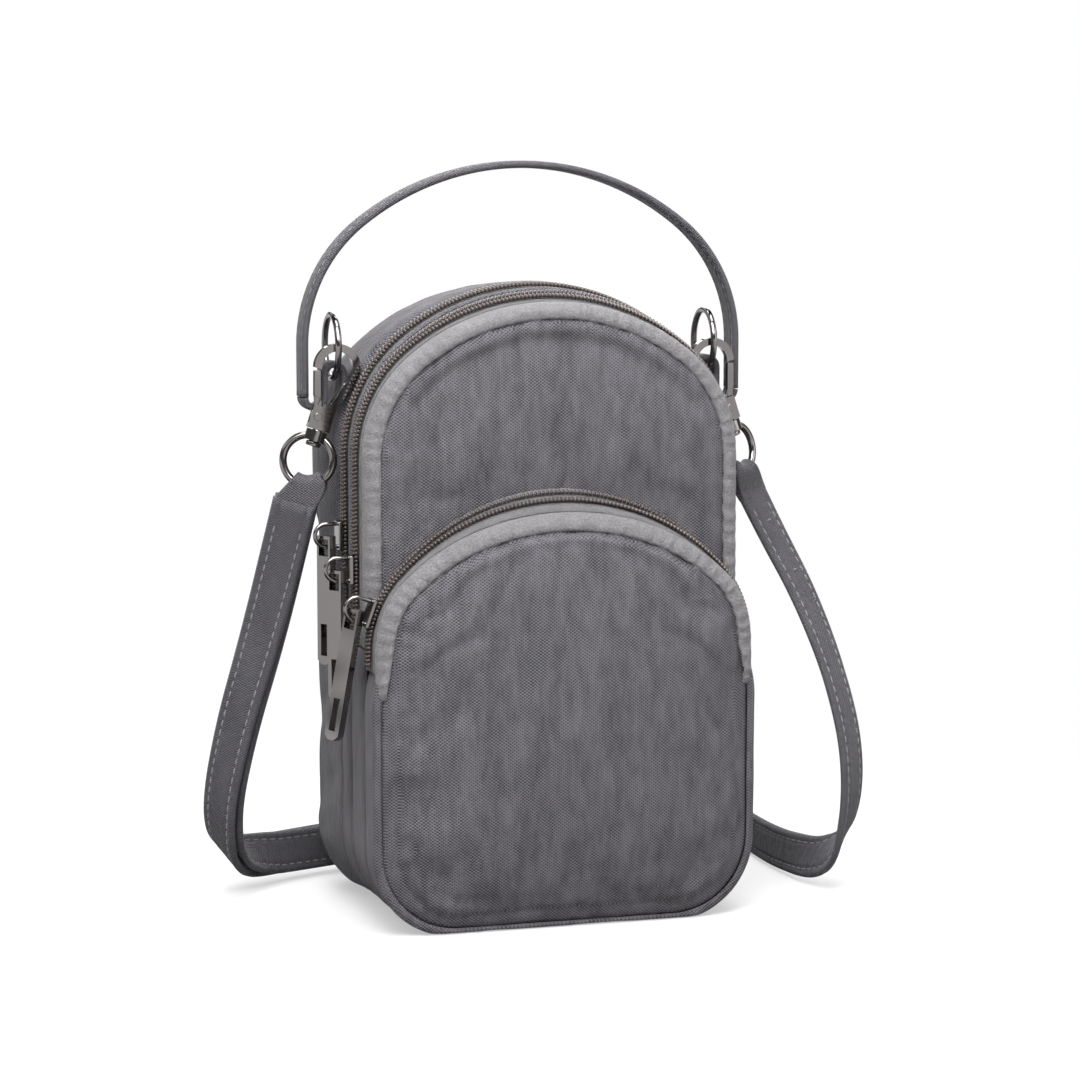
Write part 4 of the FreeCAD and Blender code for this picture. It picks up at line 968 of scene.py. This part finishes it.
# The linings and the wall between the compartments, inside the closed cloth.
liningSettings = {
    "rearLining": (dome, [(-4, -8.7), (-5, 16), (-7, 33), (-12, 36)], (0, 0.036, 0.098), "rear_lining"),
    "mainLining": (
        dome, [(-4, -10.4), (-4, -18), (-5, -23), (-8, -24.4)], (0, -0.0244, 0.098), "main_lining"
    ),
    "pocketLining": (
        pocket, [(-5, -28.2), (-5, -34), (-6, -37.4), (-10, -38.6)], (0, -0.0386, 0.068), "pocket_lining"
    ),
    "dividerWall": (dome, [(-3.9, -9.7), (-5, -9.7)], (0, -0.0097, 0.098), "divider_panel"),
}
liningThickness = {"lining": 0.0005, "wall": 0.0006}
liningFloor = 0.002
for name, (shape, profile, middle, node) in liningSettings.items():
    points, faces = cupSurface(shape, profile, middle, (0, 0, 0))
    points[:, 2] = np.maximum(points[:, 2], liningFloor)
    thickness = liningThickness["wall" if name == "dividerWall" else "lining"]
    finishPiece(thickened(name, points, faces, thickness, liningCloth), "pouch", "lining", node)


# The handle: a folded strap over the dome, and the tabs at its feet that hold the rings.
handleSettings = {
    "width": 0.010, "thickness": 0.0024, "depth": 0.011, "leg": 0.0718, "foot": 0.1638, "steps": 150
}
bow = {"half": 0.0718, "top": 0.2368, "rise": 0.0568, "side": 0.0488, "corner": 0.026}
path = overPath(bow, handleSettings["steps"], handleSettings["foot"])
line = np.stack([path[:, 0], np.full(len(path), handleSettings["depth"]), path[:, 1]], 1)
out = np.stack([path[:, 2], np.zeros(len(path)), path[:, 3]], 1)
wide = np.tile((0.0, 1.0, 0.0), (len(path), 1))
handleSize = (handleSettings["width"], handleSettings["thickness"])
handleStrap = strapMesh("handleStrap", line, wide, out, *handleSize, webbing)
handleStitches = stitches("handleStitches", stitchRows(line, wide, out, *handleSize))
for piece in (handleStrap, handleStitches):
    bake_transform(piece)
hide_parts("handle")

tabSettings = {
    "width": 0.010, "thickness": 0.0022, "turn": 0.0032, "gap": 0.0001, "ring": (0.0623, 0.171),
    "ringTurn": 0.0031, "sewn": (0.0592, 0.1632), "arcSteps": 13, "steps": 60,
}
for sign, side in ((-1, "left"), (1, "right")):
    leg, foot = handleSettings["leg"], handleSettings["foot"] - tabSettings["gap"]
    turn, count = tabSettings["turn"], tabSettings["arcSteps"]
    lowArc = arcPlaces((leg - turn, foot), turn, 0, -math.pi, count)[:, :2]
    ringArc = arcPlaces(tabSettings["ring"], tabSettings["ringTurn"], 0, math.pi, count)[:, :2]
    flat = resampled(np.concatenate([lowArc, ringArc, [tabSettings["sewn"]]]), tabSettings["steps"])
    line = np.stack([sign * flat[:, 0], np.full(len(flat), handleSettings["depth"]), flat[:, 1]], 1)
    way = unit(np.gradient(line, axis=0))
    wide = np.tile((0.0, 1.0, 0.0), (len(line), 1))
    tabSize = (tabSettings["width"], tabSettings["thickness"])
    tab = strapMesh(side + "RingTab", line, wide, np.cross(way, wide), *tabSize, webbing)
    finishPiece(tab, "pouch", "webbing", side + "_ring_tab")
print("stage: handle")


# Hardware: the same solid with its facets merged and its edges broken.
polishSettings = {"weld": 1e-6, "flatAngle": 0.01, "segments": 3, "edgeAngle": math.radians(35)}


def polished(name, node, body, bevel, material=gunmetal, slotName="gunmetal"):
    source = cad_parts[node]
    mesh = source.data.copy()
    mesh.transform(source.matrix_world)
    work = bmesh.new()
    work.from_mesh(mesh)
    bmesh.ops.remove_doubles(work, verts=work.verts, dist=polishSettings["weld"])
    flat = polishSettings["flatAngle"]
    bmesh.ops.dissolve_limit(work, angle_limit=flat, verts=work.verts, edges=work.edges)
    bmesh.ops.recalc_face_normals(work, faces=work.faces)
    work.to_mesh(mesh)
    work.free()
    for polygon in mesh.polygons:
        polygon.use_smooth = True
    mesh.materials.clear()
    mesh.materials.append(material)
    item = bpy.data.objects.new(name, mesh)
    scene.collection.objects.link(item)
    modifier = item.modifiers.new("edges", "BEVEL")
    modifier.width = bevel
    modifier.segments = polishSettings["segments"]
    modifier.limit_method = "ANGLE"
    modifier.angle_limit = polishSettings["edgeAngle"]
    modifier.harden_normals = False
    level = item.modifiers.new("normals", "WEIGHTED_NORMAL")
    level.keep_sharp = False
    final = evaluated(item)
    item.modifiers.clear()
    item.data = final
    return finishPiece(item, body, slotName, node)


ringSettings = {"centre": (0.0623, 0.011, 0.17966), "radius": 0.010, "wire": 0.0021, "steps": (72, 20)}


def roundRing(side, sign):
    x, y, z = ringSettings["centre"]
    wire = ringSettings["wire"] / 2
    turns, rolls = ringSettings["steps"]
    points = []
    for turn in np.linspace(0, 2 * math.pi, turns, endpoint=False):
        for roll in np.linspace(0, 2 * math.pi, rolls, endpoint=False):
            reach = ringSettings["radius"] + wire * math.cos(roll)
            beside = sign * x + wire * math.sin(roll)
            points.append((beside, y + reach * math.cos(turn), z + reach * math.sin(turn)))
    faces = outwards(points, gridFaces(turns, rolls, True, True))
    ring = makeMesh(side + "Ring", points, faces, gunmetal)
    finishPiece(ring, side + "_ring", "gunmetal", side + "_ring")


# The strap's fold over an eye: a band that follows the eye's wire and widens into the strap below.
loopSettings = {
    "turn": {"left": -20, "right": 35}, "eye": 0.008, "wire": 0.0012, "outer": 0.0033, "ply": 0.0016,
    "spread": 41, "rows": 17, "rolls": 15, "steps": 12, "width": 0.97, "apart": 0.44, "overlap": 0.003,
    "lowest": 0.00005,
}


def strapLoop(side):
    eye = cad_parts[side + "_swivel_eye"]
    corners = np.array([eye.matrix_world @ vertex.co for vertex in eye.data.vertices], float)
    lowest = corners[corners[:, 2] < corners[:, 2].min() + loopSettings["lowest"]].mean(0)
    foot = lowest + (0, 0, loopSettings["wire"])
    angle = math.radians(loopSettings["turn"][side])
    wide = np.array((math.cos(angle), math.sin(angle), 0))
    up = np.array((0.0, 0.0, 1.0))
    front = np.cross(wide, up)
    end, inner = (0, 3) if side == "left" else (-1, -4)
    places = (strapLine[end], returnLine[0] if side == "left" else strapLine[end])
    ways, out, along = strapWide[end], strapOut[end], strapLine[inner] - strapLine[end]
    ways = ways if ways @ wide > 0 else -ways
    out = out if out @ front > 0 else -out
    along = along / np.linalg.norm(along)
    outer, eyeRadius = loopSettings["outer"], loopSettings["eye"]
    rows = []
    for share in np.linspace(-1, 1, loopSettings["rows"]):
        turn = math.radians(loopSettings["spread"]) * share
        wire = foot + wide * eyeRadius * math.sin(turn) + up * eyeRadius * (1 - math.cos(turn))
        inward = up * math.cos(turn) - wide * math.sin(turn)
        arc = [
            wire + inward * outer * math.sin(roll) + front * outer * math.cos(roll)
            for roll in np.linspace(0, math.pi, loopSettings["rolls"])
        ]
        legs = []
        for place, way, start in ((places[0], out, arc[0]), (places[1], -out, arc[-1])):
            stop = place + ways * share * strapWidth / 2 * loopSettings["width"]
            stop = stop + way * strapThickness * loopSettings["apart"] + along * loopSettings["overlap"]
            reach = np.linalg.norm(stop - start)
            leg = []
            for step in np.linspace(0, 1, loopSettings["steps"])[1:]:
                slow = step * step * (3 - 2 * step)
                ahead = step * (1 - step) ** 2
                after = step * step * (step - 1)
                leg.append(start + (stop - start) * slow - inward * reach * ahead + along * reach * after)
            legs.append(leg)
        rows.append(legs[0][::-1] + arc + legs[1])
    grid = np.array(rows)
    points = grid.reshape(-1, 3)
    faces = gridFaces(grid.shape[0], grid.shape[1])
    crest = (loopSettings["rows"] // 2, loopSettings["steps"] - 1 + loopSettings["rolls"] // 2)
    faces = flipped(faces, vertexNormals(points, faces).reshape(grid.shape)[crest][2] < 0)
    loop = smoothed(thickened(side + "StrapLoop", points, faces, loopSettings["ply"], webbing))
    finishPiece(loop, "pouch", "webbing", side + "_strap_loop")


hookSettings = [
    ("Hook", "_hook", "_hook", 0.0009), ("Gate", "_gate", "_gate", 0.0003),
    ("GateRivet", "_gate_rivet", "_hook", 0.00015), ("GateSpring", "_gate_spring", "_hook", 0.0001),
    ("SwivelStud", "_swivel_stud", "_hook", 0.0003),
]
for side, sign in (("left", -1), ("right", 1)):
    roundRing(side, sign)
    for label, node, body, bevel in hookSettings:
        metal = (springSteel, "spring steel") if label == "GateSpring" else (gunmetal, "gunmetal")
        polished(side + label, side + node, side + body, bevel, *metal)
    polished(side + "SwivelEye", side + "_swivel_eye", "pouch", 0.0003)
    strapLoop(side)
pullSettings = [
    ("Slider", "_slider", "_slider", 0.0003), ("Bail", "_bail", "_slider", 0.0002),
    ("Pull", "_pull", "_pull", 0.0003),
]
for side in ("rear", "front", "pocket"):
    for label, node, body, bevel in pullSettings:
        polished(side + label, side + node, side + body, bevel)
adjuster = polished("strapAdjuster", "strap_adjuster", "pouch", 0.0004)
print("stage: hardware")

for piece in (strap, strapReturn, strapStitches, boxRow):
    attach(piece, "pouch")
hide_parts("strap_left_run", "strap_back_loop", "strap_right_run")
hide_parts("strap_left_return")


# A white floor: seen by the camera it fades into the white round it, and in the metal it is a soft card.
floorSettings = {
    "fade": (2.2, 2.2, 1),
    "near": {"From Min": 0.25, "From Max": 0.75, "To Min": 1.0, "To Max": 0.45},
    "card": {"From Min": 0.0, "From Max": 0.5, "To Min": 0.75, "To Max": 0.05},
}
white = (1, 1, 1, 1)
floorMaterial, floorTree, floorShader = newMaterial("whiteFloor", (0.9, 0.9, 0.9, 1), 0.9)
glow = addNode(floorTree, "ShaderNodeEmission", Strength=1.0, Color=white)
fade = objectCoordinates(floorTree, floorSettings["fade"])
far = addNode(floorTree, "ShaderNodeTexGradient", gradient_type="SPHERICAL", Vector=fade).outputs["Fac"]
near = addNode(floorTree, "ShaderNodeMapRange", Value=far, **floorSettings["near"]).outputs["Result"]
floorView = mixedShader(floorTree, near, floorShader.outputs["BSDF"], glow.outputs["Emission"])
seen = addNode(floorTree, "ShaderNodeLightPath")
bounce = addNode(floorTree, "ShaderNodeBsdfDiffuse", Color=(0.5, 0.5, 0.5, 1)).outputs["BSDF"]
cardLevel = addNode(floorTree, "ShaderNodeMapRange", Value=far, **floorSettings["card"]).outputs["Result"]
card = addNode(floorTree, "ShaderNodeEmission", Strength=cardLevel).outputs["Emission"]
mirrored = mixedShader(floorTree, seen.outputs["Is Glossy Ray"], bounce, card)
floorLook = mixedShader(floorTree, seen.outputs["Is Camera Ray"], mirrored, floorView)
floorTree.links.new(floorLook, floorTree.nodes["Material Output"].inputs["Surface"])
floor = makeMesh("floor", [(-6, -6, 0), (6, -6, 0), (6, 6, 0), (-6, 6, 0)], [(0, 1, 2, 3)], floorMaterial)

# White all round for the camera, even soft light for the cloth and light and dark bands for the metal.
worldSettings = {
    "strength": 0.34,
    "bands": [
        (0.30, 1.0), (0.36, 0.12), (0.42, 0.9), (0.50, 0.95),
        (0.56, 0.12), (0.65, 0.1), (0.72, 1.0), (0.86, 0.2),
    ],
}
world = bpy.data.worlds.new("studio")
scene.world = world
world.use_nodes = True
worldTree = world.node_tree
backdrop = worldTree.nodes["Background"]
backdrop.inputs["Color"].default_value = white
backdrop.inputs["Strength"].default_value = worldSettings["strength"]
cameraGlow = addNode(worldTree, "ShaderNodeBackground", Strength=1.0, Color=white)
rays = addNode(worldTree, "ShaderNodeLightPath")
way = addNode(worldTree, "ShaderNodeNewGeometry")
wayParts = addNode(worldTree, "ShaderNodeSeparateXYZ", Vector=way.outputs["Incoming"])
height = combine(worldTree, "MULTIPLY_ADD", wayParts.outputs["Z"], -0.5, 0.5)
bands = addNode(worldTree, "ShaderNodeValToRGB", Fac=height)
stops = bands.color_ramp.elements
for place, (position, level) in enumerate(worldSettings["bands"]):
    stop = stops[place] if place < 2 else stops.new(position)
    stop.position = position
    stop.color = (level, level, level, 1)
shineGlow = addNode(worldTree, "ShaderNodeBackground", Strength=1.0, Color=bands.outputs["Color"])
soft, shine = backdrop.outputs["Background"], shineGlow.outputs["Background"]
lit = mixedShader(worldTree, rays.outputs["Is Glossy Ray"], soft, shine)
around = mixedShader(worldTree, rays.outputs["Is Camera Ray"], lit, cameraGlow.outputs["Background"])
worldTree.links.new(around, worldTree.nodes["World Output"].inputs["Surface"])

# Large soft lamps, aimed at the middle of the pouch.
lightSettings = [
    ("keyLight", (-0.55, -0.75, 1.05), 6.8, 0.7),
    ("fillLight", (0.95, -0.75, 0.6), 3, 0.8),
    ("topLight", (0.0, 0.1, 1.1), 9, 0.8),
    ("highLight", (-0.1, -0.36, 0.56), 3.8, 0.4),
    ("backLight", (0.35, 1.0, 0.7), 5, 0.8),
]
lampAim = Vector((0, 0, 0.1))
for name, place, power, spread in lightSettings:
    data = bpy.data.lights.new(name, "AREA")
    data.energy = power
    data.size = spread
    lamp = bpy.data.objects.new(name, data)
    scene.collection.objects.link(lamp)
    lamp.location = place
    lamp.rotation_euler = (lampAim - Vector(place)).to_track_quat("-Z", "Y").to_euler()

print("stage: studio")
